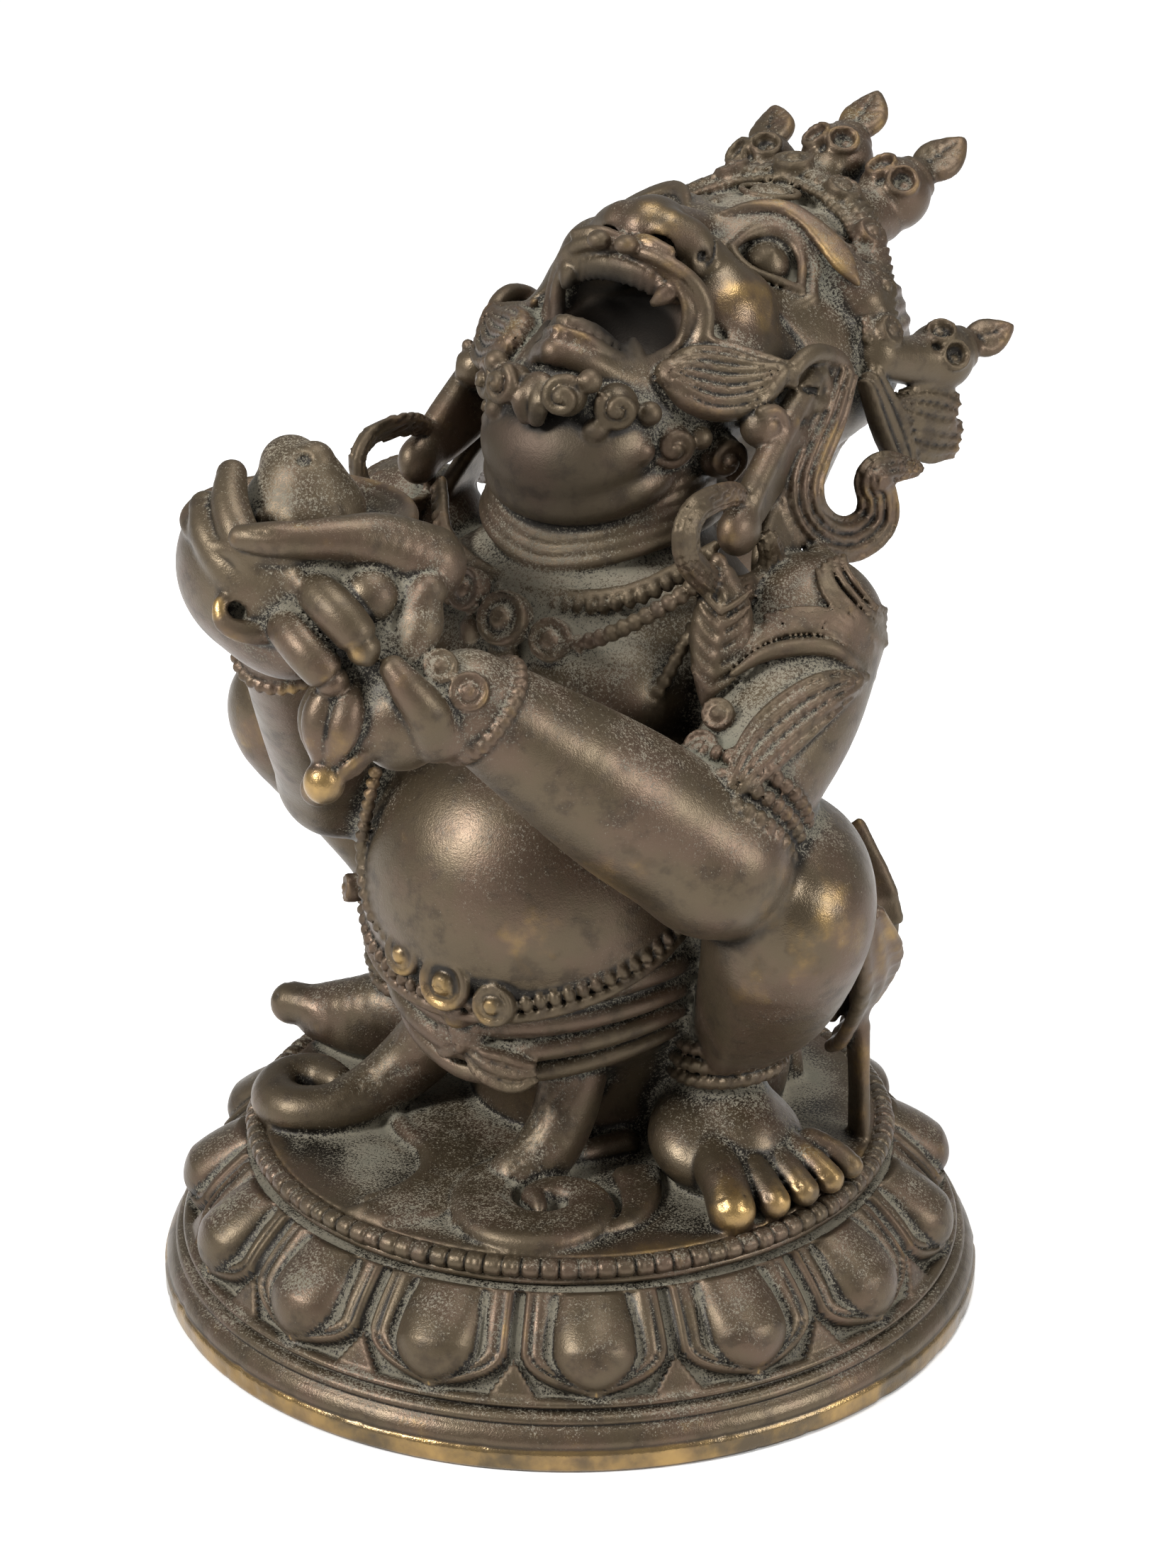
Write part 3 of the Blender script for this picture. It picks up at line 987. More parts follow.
def mouth(f):
    """A wide open mouth: double lips all round, gums, fangs and the tongue."""
    f.lay_ball((0, 6.6, 104.6), (9.2, 8.6, 7.6))
    f.lay_ball((0, 9.5, 98.6), (8.2, 7.6, 8.4))
    f.cut_away(0.6)
    for side in SIDES:
        f.rod(mirrored(LIPS, side if side > 0 else -FAR_LIP), soft=0.5)
        f.rod(mirrored(INNER_LIPS, side if side > 0 else -FAR_INNER_LIP), soft=0.35)
        f.line(mirrored([shifted(p, dy=-0.9, dz=-1.2) for p in LIPS[6:]], side), 0.45, 0.6)
        f.line(mirrored([(0, -2.9, 104.2), (3, -0.9, 102.9), (5.4, 1.9, 100.6), (7.4, 4.8, 99.2),
                         (9.4, 8.2, 99.4), (10.6, 10.0, 102.0), (10.7, 10.5, 105.2), (9.2, 10.7, 108.2)],
                        side), 0.4, 0.45)
        f.rod(mirrored([(0, 10.8, 108.6, 1.3), (2.5, 11.0, 108.4, 1.3), (5.2, 11.7, 107.4, 1.3),
                        (7.4, 12.2, 105.8, 1.2)], side), soft=0.4)
        for i in range(6):
            x = 0.5 + 1.05 * i
            tooth = [(x, 10.4 + 0.02 * x * x, 109.4 - 0.05 * x * x, 0.62),
                     (x, 9.8 + 0.035 * x * x, 107.4 - 0.05 * x * x, 0.55)]
            f.rod(mirrored(tooth, side), soft=0.2, smooth=False)
        f.rod(mirrored([(7.6, 13.2, 107.0, 1.6), (7.0, 11.2, 106.4, 1.4), (6.3, 9.0, 105.6, 0.6)], side),
              soft=0.3)
        f.rod(mirrored([(6.4, 4.6, 98.6, 1.6), (6.2, 4.7, 100.4, 1.3), (6.0, 4.8, 102.0, 0.5)], side),
              soft=0.3)
        f.beads(mirrored([(0.5, 0.0, 104.0), (3.2, 1.6, 102.9), (5.0, 3.9, 101.0)], side), 0.7, 1.2)
        f.ball((1.9 * side, 9.6, 111.9), (1.5, 1.4, 1.2), soft=0.4)
        f.rod(mirrored([(1.0, 13.0, 111.2, 0.8), (3.4, 11.8, 112.0, 0.9), (6.6, 11.8, 111.2, 0.8)], side),
              soft=0.3)
    tongue = [(0, 9.0, 95.5, 3.4), (0, 6.0, 98.8, 4.0), (-0.2, 3.8, 101.4, 3.9), (-0.4, 1.8, 103.4, 2.9),
              (-0.6, 0.2, 104.6, 0.8)]
    f.strap(tongue, (1, 0, 0), 1.6, soft=0.4, edge=0.3)
    f.line([(-0.1, 5.6, 100.4), (-0.3, 3.4, 102.8), (-0.5, 1.6, 104.4)], 0.35, 0.6)


def nose(f):
    """A broad short nose with flared nostrils and creases across its root."""
    f.rod([(0, 17.6, 111.4, 3.3), (0, 23, 110.2, 3.0), (0, 29.5, 107.8, 2.7), (0, 34, 106.6, 2.2)], soft=1.6)
    f.ball((0, 18.4, 111.4), (4.2, 5.0, 4.0), turn=(-8, 0, 0), soft=1.0)
    for side in SIDES:
        f.rod(mirrored([(3.0, 17.2, 111.6, 3.0), (5.4, 18.6, 110.2, 2.9), (6.6, 18.4, 108.6, 2.5)], side),
              soft=0.8)
    for side in SIDES:
        f.lay_rod([(3.0 * side, 12.4, 109.6, 1.5), (3.3 * side, 15.2, 110.4, 1.8),
                   (3.8 * side, 18.2, 110.2, 1.3)])
        f.cut_away(0.4)
        f.line(mirrored([(6.0, 20.8, 112.2), (7.6, 20.0, 110.8), (8.6, 18.0, 108.8), (8.2, 15.6, 107.6)],
                        side), 0.7, 0.7)
        f.line(mirrored([(4.4, 29.0, 109.4), (5.4, 26.0, 109.6), (7.4, 24.6, 108.6)], side), 0.3, 0.6)
    for y in (30.2, 32.4):
        f.line([(-2.6, y + 1.0, 108.6), (0, y, 110.2), (2.6, y + 1.0, 108.6)], 0.4, 0.6)


def cheeks(f):
    """Full cheeks from the nose to the jaw, each with a deep crease at the mouth."""
    f.ball((-8.2, 20.6, 105.4), (5.4, 6.0, 5.4), soft=1.0)
    for side in SIDES:
        cheek = [(6.2, 20.8, 108.0, 2.8), (8.2, 20.6, 105.2, 3.6), (9.9, 20.4, 102.2, 4.1),
                 (11.8, 20.8, 98.6, 4.0)]
        f.rod(mirrored(cheek, side), soft=1.2)
        f.line(mirrored([(7.6, 17.4, 109.6), (9.4, 15.6, 108.0), (11.4, 14.0, 105.2), (12.6, 13.2, 102.2),
                         (14.0, 14.2, 99.6), (17.0, 17.6, 97.3)], side), 1.0, 1.0)
        f.line(mirrored([(13.8, 24.0, 101.6), (16.6, 25.2, 98.4), (18.2, 25.6, 94.0)], side), 0.25, 0.8)


def eyes(f):
    """Bulging eyes: a mound, a pointed ball in a socket, thick lids and a second rim."""
    lid = ((5.7, 27.7, 107.4), (6.3, 30.7, 108.4), (7.9, 33.6, 108.6), (10.4, 34.3, 107.3),
           (12.6, 33.0, 105.3), (14.2, 30.0, 102.9), (11.9, 28.2, 104.2), (9.7, 27.0, 105.1),
           (7.6, 26.8, 106.2), (5.7, 27.7, 107.4))
    rim = ((4.1, 27.5, 108.0), (5.5, 31.7, 108.8), (7.7, 35.2, 108.8), (10.5, 36.0, 107.3),
           (13.1, 34.4, 105.0), (15.4, 30.9, 102.2), (14.2, 27.4, 101.6), (11.7, 25.8, 102.9),
           (8.4, 25.3, 104.7), (4.1, 27.5, 108.0))
    for side in SIDES:
        n = unit((0.50 * side, -0.30, 0.81))
        way = unit(np.array((0.714 * side, 0.444, -0.547)))
        way = unit(way - n * (way @ n))
        axes = np.array([way, np.cross(n, way), n])
        spot = np.array(flip(EYE, side))
        f.ball(spot - n * 4.4, (8.4, 7.4, 3.9), axes=axes, soft=1.5)
        f.dent(spot + n * 0.5, (6.0, 4.9, 3.0), 0.8, axes)
        f.ball(spot - n * 2.0, (3.0, 2.8, 2.6), axes=axes, soft=0.3)
        f.ball(spot - n * 0.5, (1.6, 1.5, 1.1), axes=axes, soft=0.5)
        f.ball(spot + n * 0.5, 0.55, soft=0.4)
        for half in (lid[:6], lid[5:]):
            f.rod(mirrored([(*p, 0.62) for p in half], side), soft=0.3, steps=3)
        for half in (rim[:6], rim[5:]):
            f.rod(mirrored([(*shifted(p, dz=-0.5), 0.7) for p in half], side), soft=0.4, steps=3)


def brows(f):
    """Leaf-like brows with a sharp lower edge, tufts over them and a third eye."""
    for side in SIDES:
        f.rod(mirrored([(2, 32, 107.6, 3.0), (7, 36.4, 106.8, 3.4), (11, 38, 105.2, 3.6),
                        (15, 38, 102.6, 3.4), (18.5, 38, 99.8, 3.0)], side), soft=1.8)
        brow = [(2.4, 30.6, 110.4, 0.4), (5.0, 34.0, 111.0, 0.8), (8.0, 36.2, 110.7, 1.1),
                (11.0, 36.6, 109.5, 1.3), (14.4, 36.2, 107.4, 1.7), (17.0, 35.6, 105.3, 1.6),
                (19.4, 35.2, 103.0, 0.3)]
        face = np.array((0.46 * side, -0.3, 0.84))
        heads = np.gradient(np.array(mirrored(brow, side))[:, :3], axis=0)
        f.strap(mirrored(brow, side), [tuple(np.cross(face, unit(h))) for h in heads], 1.3, soft=0.2)
        for i in range(8):
            share = i / 7
            x, z = 3.0 + 13.5 * share, 109.2 - 5.2 * share ** 1.5
            tuft = [(x, 38.0 + 0.4 * share, z, 0.55), (x + 1.6, 41.2, z - 0.9, 0.75),
                    (x + 1.4, 44.4 - 1.2 * share, z - 1.6, 0.4)]
            f.rod(mirrored(tuft, side), soft=0.35)
        for i in range(6):
            x = 15.4 + 0.9 * i
            f.line(mirrored([(x, 30.6 - i * 1.2, 101.4 - i * 1.5),
                             (x + 1.8, 33.4 - i * 1.0, 98.4 - i * 1.6)], side), 0.3, 0.45)
    f.ball((0, 46.4, 108.4), (3.0, 1.8, 1.5), soft=0.3)
    f.ring((0, 46.4, 108.9), (0, 0.08, 1), 3.9, 0.5, 0.3, squash=0.62, hint=(0, 1, 0))


def beard(f):
    """A combed whisker on each jaw and a row of curls under the lip."""
    for side in SIDES:
        whisker = [(11.0, 5.0, 98.6, 1.8), (13.2, 7.0, 97.8, 4.4), (16.0, 9.6, 96.9, 4.8),
                   (18.8, 12.6, 96.9, 3.0), (21.0, 15.6, 97.9, 0.4)]
        f.strap(mirrored(whisker, side), (-0.30 * side, 0.62, 0.68), 2.6, soft=0.3, ridges=7, rise=0.30,
                crown=0.5, steps=6)
        f.rod(mirrored([(12.0, 10.9, 102.0, 0.5), (13.8, 12.4, 100.7, 0.6), (16.8, 14.2, 99.7, 0.65),
                        (21.0, 16.2, 98.5, 0.4)], side), soft=0.3)
        curls = (((4.2, -7.6, 98.2), 2.6, (0.32, -0.93, 0.18)),
                 ((8.9, -3.2, 96.4), 2.7, (0.62, -0.78, 0.05)),
                 ((12.4, 3.4, 90.6), 2.9, (0.76, -0.64, -0.06)),
                 ((15.9, 9.6, 87.6), 2.9, (0.85, -0.52, -0.05)),
                 ((18.8, 13.4, 92.0), 2.3, (0.92, -0.38, 0.05)))
        for i, (centre, size, normal) in enumerate(curls):
            spot = np.array(flip(centre, side))
            n = np.array(flip(normal, side))
            f.ball(spot - n * 1.3, size * 0.98, soft=0.7)
            f.rod(spiral(spot + n * 0.35, n, size * 0.88, 1.5, start=1.2 + i * 1.3, thick=0.72, dome=1.3,
                         way=side), soft=0.25, steps=2)
        for centre in ((6.6, -5.6, 100.0), (11.0, 0.6, 95.0), (14.4, 6.6, 90.8), (7.0, -5.0, 93.8),
                       (10.6, -0.4, 90.4)):
            f.ball(flip(centre, side), 1.5, soft=0.6)
        f.rod(mirrored([(0.4, -6.4, 98.6, 1.5), (1.2, -8.2, 97.0, 1.3), (0.8, -8.2, 95.0, 1.0)], side),
              soft=0.4)


def ears(f):
    """Flat long ears with cut scrolls, and a ribbed hoop through each lobe."""
    for side in SIDES:
        plate = [(20.2, 25.0, 95.0, 3.4), (20.6, 21.6, 93.0, 4.6), (21.2, 16.0, 89.8, 4.8),
                 (21.8, 9.6, 86.6, 4.2), (22.4, 4.6, 84.0, 3.3), (22.7, 2.2, 82.8, 2.0)]
        f.strap(mirrored(plate, side), (0.25 * side, -0.50, 0.83), 3.4, soft=0.6)
        rim = [(21.4, 15.9, 96.6, 1.0), (21.6, 17.0, 98.4, 1.1), (21.8, 20.6, 98.8, 1.2),
               (22.0, 25.4, 96.8, 1.2), (22.2, 27.6, 93.8, 1.2), (22.2, 26.4, 90.8, 1.2),
               (22.2, 22.2, 89.4, 1.1), (22.2, 16.2, 89.2, 1.0), (22.0, 11.6, 89.8, 0.9)]
        f.rod(mirrored(rim, side), soft=0.5)
        f.rod(mirrored([(21.4, 17.4, 94.4, 1.0), (22.0, 20.6, 92.4, 1.3), (22.0, 22.8, 93.6, 1.1),
                        (21.8, 22.0, 96.0, 1.0)], side), soft=0.4)
        for slot in ([(22.6, 16.4, 97.0), (22.6, 17.6, 95.2), (22.6, 19.6, 94.4)],
                     [(23.0, 23.0, 96.2), (23.2, 25.6, 93.8), (23.2, 25.4, 91.8)],
                     [(23.0, 14.6, 92.0), (23.2, 18.6, 91.0), (23.2, 22.2, 91.4), (23.2, 24.2, 92.6)]):
            f.lay_rod(mirrored([(*p, 0.55) for p in slot], side))
            f.cut_away(0.3)
        curl = spiral((21.9 * side, 10.2, 92.4), (0.9 * side, -0.4, 0.1), 2.4, 1.3, start=2.0, thick=0.8,
                      dome=0.5, way=-side)
        f.ball((20.4 * side, 10.6, 92.2), 2.6, soft=0.5)
        f.rod(curl, soft=0.25, steps=2)
        f.ball((22.9 * side, 1.6, 82.4), (2.4, 3.3, 3.1), soft=0.8)
        hoop = [(22.6, 3.0, 85.9, 0.9), (22.8, 0.2, 87.4, 1.1), (23.0, -4.5, 88.2, 1.25),
                (23.2, -8.8, 88.2, 1.3), (23.3, -11.0, 86.2, 1.35), (23.3, -10.4, 82.8, 1.4),
                (23.4, -7.2, 79.4, 1.4), (23.7, -3.7, 76.8, 1.4), (24.2, 1.5, 75.2, 1.45),
                (24.6, 5.0, 75.6, 1.4), (24.9, 6.0, 77.8, 1.3), (24.8, 5.0, 80.6, 1.1)]
        sides = flat_to(hoop, (0.80, -0.52, 0.30), side)
        hoop = [(*p[:3], p[3] + 0.25) for p in hoop]
        f.strap(mirrored(hoop, side), sides, 2.0, soft=0.3, ridges=4, rise=0.22, steps=5)


def ribbons(f):
    """Crown ribbons: three raised cords that loop round an opening and end in a tip."""
    for side in SIDES:
        strap = [(22.6, 25.5, 95.0, 1.6), (23.0, 21.9, 91.0, 1.9), (23.2, 18.2, 87.8, 2.0),
                 (23.6, 15.0, 84.4, 2.1), (24.2, 15.2, 80.4, 2.2), (25.2, 18.6, 76.8, 2.2),
                 (26.0, 23.6, 75.0, 2.2), (26.6, 28.0, 76.0, 2.1), (26.8, 27.8, 79.4, 1.9),
                 (26.8, 26.4, 82.0, 1.5), (27.2, 29.4, 82.6, 1.5), (28.0, 35.3, 80.9, 0.4)]
        sides = flat_to(strap, (0.70, -0.60, 0.38), side)
        strap = [(*p[:3], p[3] + 0.5) for p in strap]
        f.strap(mirrored(strap, side), sides, 2.0, soft=0.3, ridges=4, rise=0.28, steps=5)
        f.strap(mirrored([(21.5, 20, 84, 3.0), (22.5, 12, 79, 3.6), (24, 8, 74, 3.6), (26, 8, 70, 2.8)],
                         side), (0.3 * side, 0.55, -0.7), 2.2, soft=0.8)


def leaf(f, root, way, across, length, wide, thick=1.5):
    """A pointed leaf with a middle rib and slanting veins."""
    root, way, across = np.array(root, float), unit(way), unit(across)
    steps = ((0.0, 0.55), (0.25, 0.95), (0.5, 1.0), (0.75, 0.72), (0.92, 0.36), (1.0, 0.08))
    f.strap([(*(root + way * length * t), wide * w) for t, w in steps], across, thick, soft=0.35, crown=0.35)
    up = np.cross(way, across)
    for face in (1, -1):
        top = up * face * thick * 0.62
        f.line([root + top, root + way * length * 0.9 + top], 0.28, 0.4, smooth=False)
        for t in (0.2, 0.4, 0.6):
            for s in (-1, 1):
                end = root + way * length * (t + 0.2) + across * s * wide * 0.75 + top * 0.8
                f.line([root + way * length * t + top, end], 0.22, 0.36, smooth=False)


def skull(f, centre, face, up, size, flame=(5.5, 2.8)):
    """A small skull: cap, brow, sunken sockets with raised rims, nose, teeth, leaf flame."""
    c, n, u = np.array(centre, float), unit(face), np.array(up, float)
    u = unit(u - n * (u @ n))
    s = np.cross(u, n)
    axes = np.array([s, u, n])
    f.ball(c + u * size * 0.12, (size, size * 1.02, size), axes=axes, soft=0.6)
    f.ball(c - u * size * 0.62 + n * size * 0.22, (size * 0.62, size * 0.52, size * 0.62), axes=axes,
           soft=0.8)
    for way in (-1, 1):
        spot = c + s * way * size * 0.44 + u * size * 0.14 + n * size * 0.86
        f.ring(spot, n + s * way * 0.45, size * 0.36, size * 0.11, 0.3)
        f.dent(spot + n * size * 0.08, (size * 0.33, size * 0.33, size * 0.34), 0.25, axes)
        f.ball(spot - n * size * 0.24, size * 0.13, soft=0.2)
    f.dent(c - u * size * 0.32 + n * size * 0.95, (size * 0.14, size * 0.2, size * 0.2), 0.2, axes)
    for k in range(-2, 3):
        base = c - u * size * 0.62 + n * size * 0.86 + s * size * 0.17 * k
        f.line([base, base - u * size * 0.26], 0.22, 0.34, smooth=False)
    f.line([c - u * size * 0.6 + n * size * 0.9 - s * size * 0.4, c - u * size * 0.56 + n * size * 0.95,
            c - u * size * 0.6 + n * size * 0.9 + s * size * 0.4], 0.25, 0.36)
    collar = c + u * size * 0.95
    f.ring(collar, u, size * 0.5, size * 0.16, 0.3)
    f.ball(collar, size * 0.5, soft=0.4)
    leaf(f, collar + u * size * 0.2, u, s, flame[0], flame[1])


def crown(f):
    """A beaded band with five skulls and feathered side pieces."""
    band = [(0, 52.4, 108.6), (8, 50.8, 106.8), (14.2, 46.2, 103.6), (18.6, 40.6, 99.4), (21.4, 36.4, 95.6)]
    for side in SIDES:
        f.rod(mirrored([(*p, 2.5) for p in band], side), soft=0.8)
        for shift in (-2.5, 2.5):
            f.beads(mirrored([(p[0], p[1] + shift, p[2] + 1.3) for p in band], side), 0.62, 1.15)
        for spot in spaced(mirrored(band, side), 1.35)[0]:
            top = spot + unit((spot[0] * 0.045, 0.05, 1.0 - abs(spot[0]) * 0.018)) * 2.3
            f.rod([(*shifted(top, dy=-1.5), 0.42), (*shifted(top, dy=1.5), 0.42)], soft=0.2, smooth=False)
        for spot, size in (((8, 50.8, 109.2), 2.3), ((14.6, 46.2, 105.8), 2.1), ((19.6, 40.6, 101.2), 2.0),
                           ((22.8, 36.8, 97.2), 2.0)):
            n = unit((spot[0] * side * 0.045, 0.0, 1.0 - spot[0] * 0.018))
            f.boss(flip(spot, side), n, size, 1.6)
        f.rod(mirrored([(21.6, 36.5, 94, 3.0), (23.2, 41, 92.4, 3.0), (24.2, 45.0, 91.6, 3.6)], side),
              soft=0.6)
        skull(f, (24.4 * side, 46.4, 91.4), (0.55 * side, -0.45, 0.72), (0.25 * side, 0.95, -0.05), 4.3,
              (6.0, 2.5))
        for height, length in ((88.0, 7.6), (84.2, 8.6)):
            fan = [(23.6, 37.6, height, 1.2), (24.8, 40.6, height - 1.0, 2.6),
                   (25.8, 43.6, height - 2.2, 3.2), (26.6, 37.6 + length + 1.5, height - 3.4, 2.4)]
            f.strap(mirrored(fan, side), (0.1 * side, 0.45, 0.9), 1.8, soft=0.35, ridges=4, rise=0.25)
        f.strap(mirrored([(22.6, 33, 92, 2.0), (23.4, 36, 86, 3.0), (24.4, 38.4, 80, 2.4)], side),
                (0, 0.9, 0.4), 2.4, soft=0.6, ridges=3, rise=0.25)
    f.boss((0, 52.2, 110.9), (0, -0.05, 1), 2.6, 1.8)
    f.rod([(0, 52, 106, 3.6), (0, 60, 106.4, 3.8)], soft=1.0, smooth=False)
    skull(f, (0, 62.6, 108.6), (0, -0.50, 0.87), (0, 0.93, 0.30), 4.7, (7.0, 3.2))
    for side in SIDES:
        f.rod(mirrored([(8, 50, 104.6, 3.5), (8.8, 58, 104.4, 3.8)], side), soft=1.0, smooth=False)
        skull(f, (9.4 * side, 60.6, 106.2), (0.18 * side, -0.50, 0.85), (0.32 * side, 0.9, 0.28), 4.7,
              (7.0, 3.2))


def boundary(f):
    """What reaches under the plate is cut away."""
    z = f.axes[2][None, None, :]
    f.dist = np.maximum(f.dist, PLATE_CUT - z)


MASSES = (torso, legs, arms, head_mass)
BODY = (waist_cloth, back_cloth, left_foot, right_foot, anklets, hem, plate_top, animal_skin, belt,
        arm_rings, neck, chest_jewels, scarves, vajra_and_hand, cup_and_hand)
HEAD = (hair, nose, mouth, cheeks, eyes, brows, beard, ears, ribbons, crown)

# Where the pieces of the figure's skin meet
SEAM_Z = 74.5
SEAM_Y = -15.5
WAIST_Z = 45.0
# Name, low corner, high corner, cell, most triangles, and which triangles the piece keeps
REGIONS = (
    ("face", (-41, -17, 73), (41, 41, 119), 0.38, 190000,
     lambda p: (p[:, 2] > SEAM_Z) & (p[:, 1] > SEAM_Y) & (p[:, 1] < 39.3)),
    ("crown", (-36, 37.5, 64), (36, 82, 119), 0.40, 130000,
     lambda p: (p[:, 1] > 39.0) & (p[:, 2] > SEAM_Z)),
    ("hands", (-44, -58, 56), (44, -12, 105), 0.40, 130000,
     lambda p: (p[:, 2] > 59.5) & (p[:, 1] < SEAM_Y + 0.3)),
    ("chest", (-50, -50, 43.5), (50, 64, 76), 0.46, 130000,
     lambda p: (p[:, 2] > WAIST_Z) & (p[:, 2] < np.where(p[:, 1] < SEAM_Y, 60.0, SEAM_Z + 0.3))),
    ("legs", (-50, -46, -6), (50, 56, 46.5), 0.46, 185000,
     lambda p: (p[:, 2] < WAIST_Z + 0.3) & (p[:, 2] > -1.2)),
)


def hollow(f):
    """The smoke's way: mouth, throat, chest and belly, open through the plate."""
    way = [(0, 7.5, 98, 5.6), (0, 8, 88, 5.4), (0, 7, 78, 6.0), (0, 5, 66, 8.0), (0, 1.5, 56, 9.0),
           (0, -5, 47, 13.0), (0, -7.5, 39, 16.5), (0, -3, 24, 13), (0, 3, 10, 11.5), (0, 3, 0, 11.5),
           (0, 3, -4, 11.5)]
    f.lay_rod(way, margin=1.2)
    f.cut_away(0.5)


# Meshes

def mesh_object(name, places, faces, smooth=True):
    """An object from corner places in millimetres and rows of corner numbers."""
    mesh = bpy.data.meshes.new(name)
    wide = faces.shape[1]
    mesh.vertices.add(len(places))
    mesh.vertices.foreach_set("co", (places * MM).astype(np.float32).ravel())
    mesh.loops.add(faces.size)
    mesh.loops.foreach_set("vertex_index", faces.astype(np.int32).ravel())
    mesh.polygons.add(len(faces))
    mesh.polygons.foreach_set("loop_start", np.arange(0, faces.size, wide, dtype=np.int32))
    mesh.update(calc_edges=True)
    mesh.validate()
    if smooth:
        mesh.shade_smooth()
    item = bpy.data.objects.new(name, mesh)
    bpy.context.scene.collection.objects.link(item)
    return item


def thinned(item, most):
    """The object's mesh brought down to at most so many triangles."""
    count = sum(len(face.vertices) - 2 for face in item.data.polygons)
    step = item.modifiers.new("fewer faces", "DECIMATE")
    step.ratio = min(1.0, most / count)
    step.use_collapse_triangulate = True
    ready = item.evaluated_get(bpy.context.evaluated_depsgraph_get())
    mesh = bpy.data.meshes.new_from_object(ready)
    item.modifiers.clear()
    old = item.data
    item.data = mesh
    bpy.data.meshes.remove(old)


def places_of(item):
    """The object's corners in millimetres."""
    spots = np.zeros(len(item.data.vertices) * 3, np.float32)
    item.data.vertices.foreach_get("co", spots)
    return spots.reshape(-1, 3) / MM


def note(item, name, values):
    """A number for each corner, which the material reads."""
    layer = item.data.attributes.new(name, "FLOAT", "POINT")
    layer.data.foreach_set("value", np.ascontiguousarray(np.ravel(values), np.float32))


def note_all(item, **values):
    for name, numbers in values.items():
        note(item, name, numbers)


# Places rubbed bright, or dusty where below 0: a spot, how far round it, and how strong
RUBBED = (((41, -15.5, 44), 10, 0.9), ((35, -17, 34), 6, 0.5), ((26, -28, 51), 9, 0.8),
          ((13, -27, 36), 8, 0.7), ((-6, -27, 42), 7, 0.4), ((12, 19, 104), 6, 0.9), ((16, 21, 99), 5, 0.5),
          ((2.5, 17, 114.5), 4.5, 0.7), ((0.9, -53.4, 64.4), 3.2, 1.0), ((-13.3, -53, 83), 1.8, 1.0),
          ((-5, -27, 50), 7, 0.35), ((-40, -14, 52), 9, 0.6), ((3.4, -44.5, 67.8), 5.5, 0.5),
          ((4.2, -50.4, 80.2), 2.2, 0.7), ((0.6, -29, 29.3), 4, 0.9), ((-6, -28.5, 31), 3, 0.8),
          ((6.8, -28.5, 27.6), 3, 0.8), ((34, -16, 3), 4, 0.6), ((38, -9, 3), 4, 0.5),
          ((40, -2, 3), 3, 0.5), ((4, -8, 72), 20, -0.9), ((30, -8, 66), 13, -0.6),
          ((20, 30, 86), 12, -0.6), ((0, 46, 112), 13, -0.7), ((-13, -38, 92), 11, -0.8),
          ((9, -41, 80), 8, -0.8), ((-8, -47, 84), 6, -0.6), ((0, -30, 2), 26, -0.5),
          ((28, 28, 0), 20, -0.8), ((-20, -10, 0), 16, -0.5))
# How much the lowest forms are rubbed, and up to what height
LOW_RUB = 0.3
LOW_RUB_HEIGHT = 14
# Soot: a middle and half sizes in the throat, and a spot and reach under the chin
THROAT = ((0, 9.0, 100.6), (9.9, 11.2, 9.4))
UNDER_CHIN = ((0, -3, 89), 13)
UNDER_CHIN_SOOT = 0.42
# How far round a place its relief is averaged, and the height over that which counts in full
FINE_RELIEF = (0.9, 0.22)
BROAD_RELIEF = (3.4, 0.75)
SOFTEN = 0.9


def without_crumbs(places, quads, low, high):
    """The quads less every small closed skin, a crumb or a bubble, inside the window."""
    label = np.arange(len(places))
    while True:
        least = label[quads].min(1)
        lower = label.copy()
        for k in range(quads.shape[1]):
            np.minimum.at(lower, quads[:, k], least)
        lower = lower[lower]
        if np.array_equal(lower, label):
            break
        label = lower
    margin = 1.0
    at_border = ((places < np.array(low) + margin) | (places > np.array(high) - margin)).any(1)
    open_skins = np.unique(label[at_border])
    names, sizes = np.unique(label[quads[:, 0]], return_counts=True)
    large = names[sizes > len(quads) / 20]
    return quads[np.isin(label[quads[:, 0]], np.union1d(open_skins, large))]


def carve(name, low, high, cell, most, keeps):
    """One region of the figure, from its forms to a mesh with its wear noted."""
    f = Field(low, high, cell)
    for form in MASSES:
        form(f)
    f.soften(SOFTEN)
    for form in BODY + HEAD:
        form(f)
    boundary(f)
    hollow(f)
    places, quads = f.skin()
    quads = without_crumbs(places, quads, low, high)
    quads = quads[keeps(places[quads].mean(1))]
    used, index = np.unique(quads, return_inverse=True)
    item = mesh_object(name, places[used] + (0, 0, LIFT), index.reshape(quads.shape))
    thinned(item, most)
    spots = places_of(item) - (0, 0, LIFT)
    fine = f.sample(f.blurred(FINE_RELIEF[0]), spots) / FINE_RELIEF[1]
    broad = f.sample(f.blurred(BROAD_RELIEF[0]), spots) / BROAD_RELIEF[1]
    rubbed = LOW_RUB * np.clip(1 - spots[:, 2] / LOW_RUB_HEIGHT, 0, 1)
    for spot, reach, strength in RUBBED:
        far = np.linalg.norm(spots - np.array(spot), axis=1) / reach
        rubbed = rubbed + strength * np.clip(1 - far * far, 0, 1)
    inner = np.linalg.norm((spots - np.array(THROAT[0])) / np.array(THROAT[1]), axis=1)
    under = np.linalg.norm(spots - np.array(UNDER_CHIN[0]), axis=1) / UNDER_CHIN[1]
    soot = np.maximum(np.clip((1.0 - inner) * 3.5, 0, 1), UNDER_CHIN_SOOT * smooth_step(1.0, 0.5, under))
    note_all(item, edge=np.clip(fine, 0, 1), groove=np.clip(-fine, 0, 1), proud=np.clip(broad, 0, 1),
             shade=np.clip(-broad, 0, 1), rubbed=np.clip(rubbed, -1, 1), soot=soot)
    return item


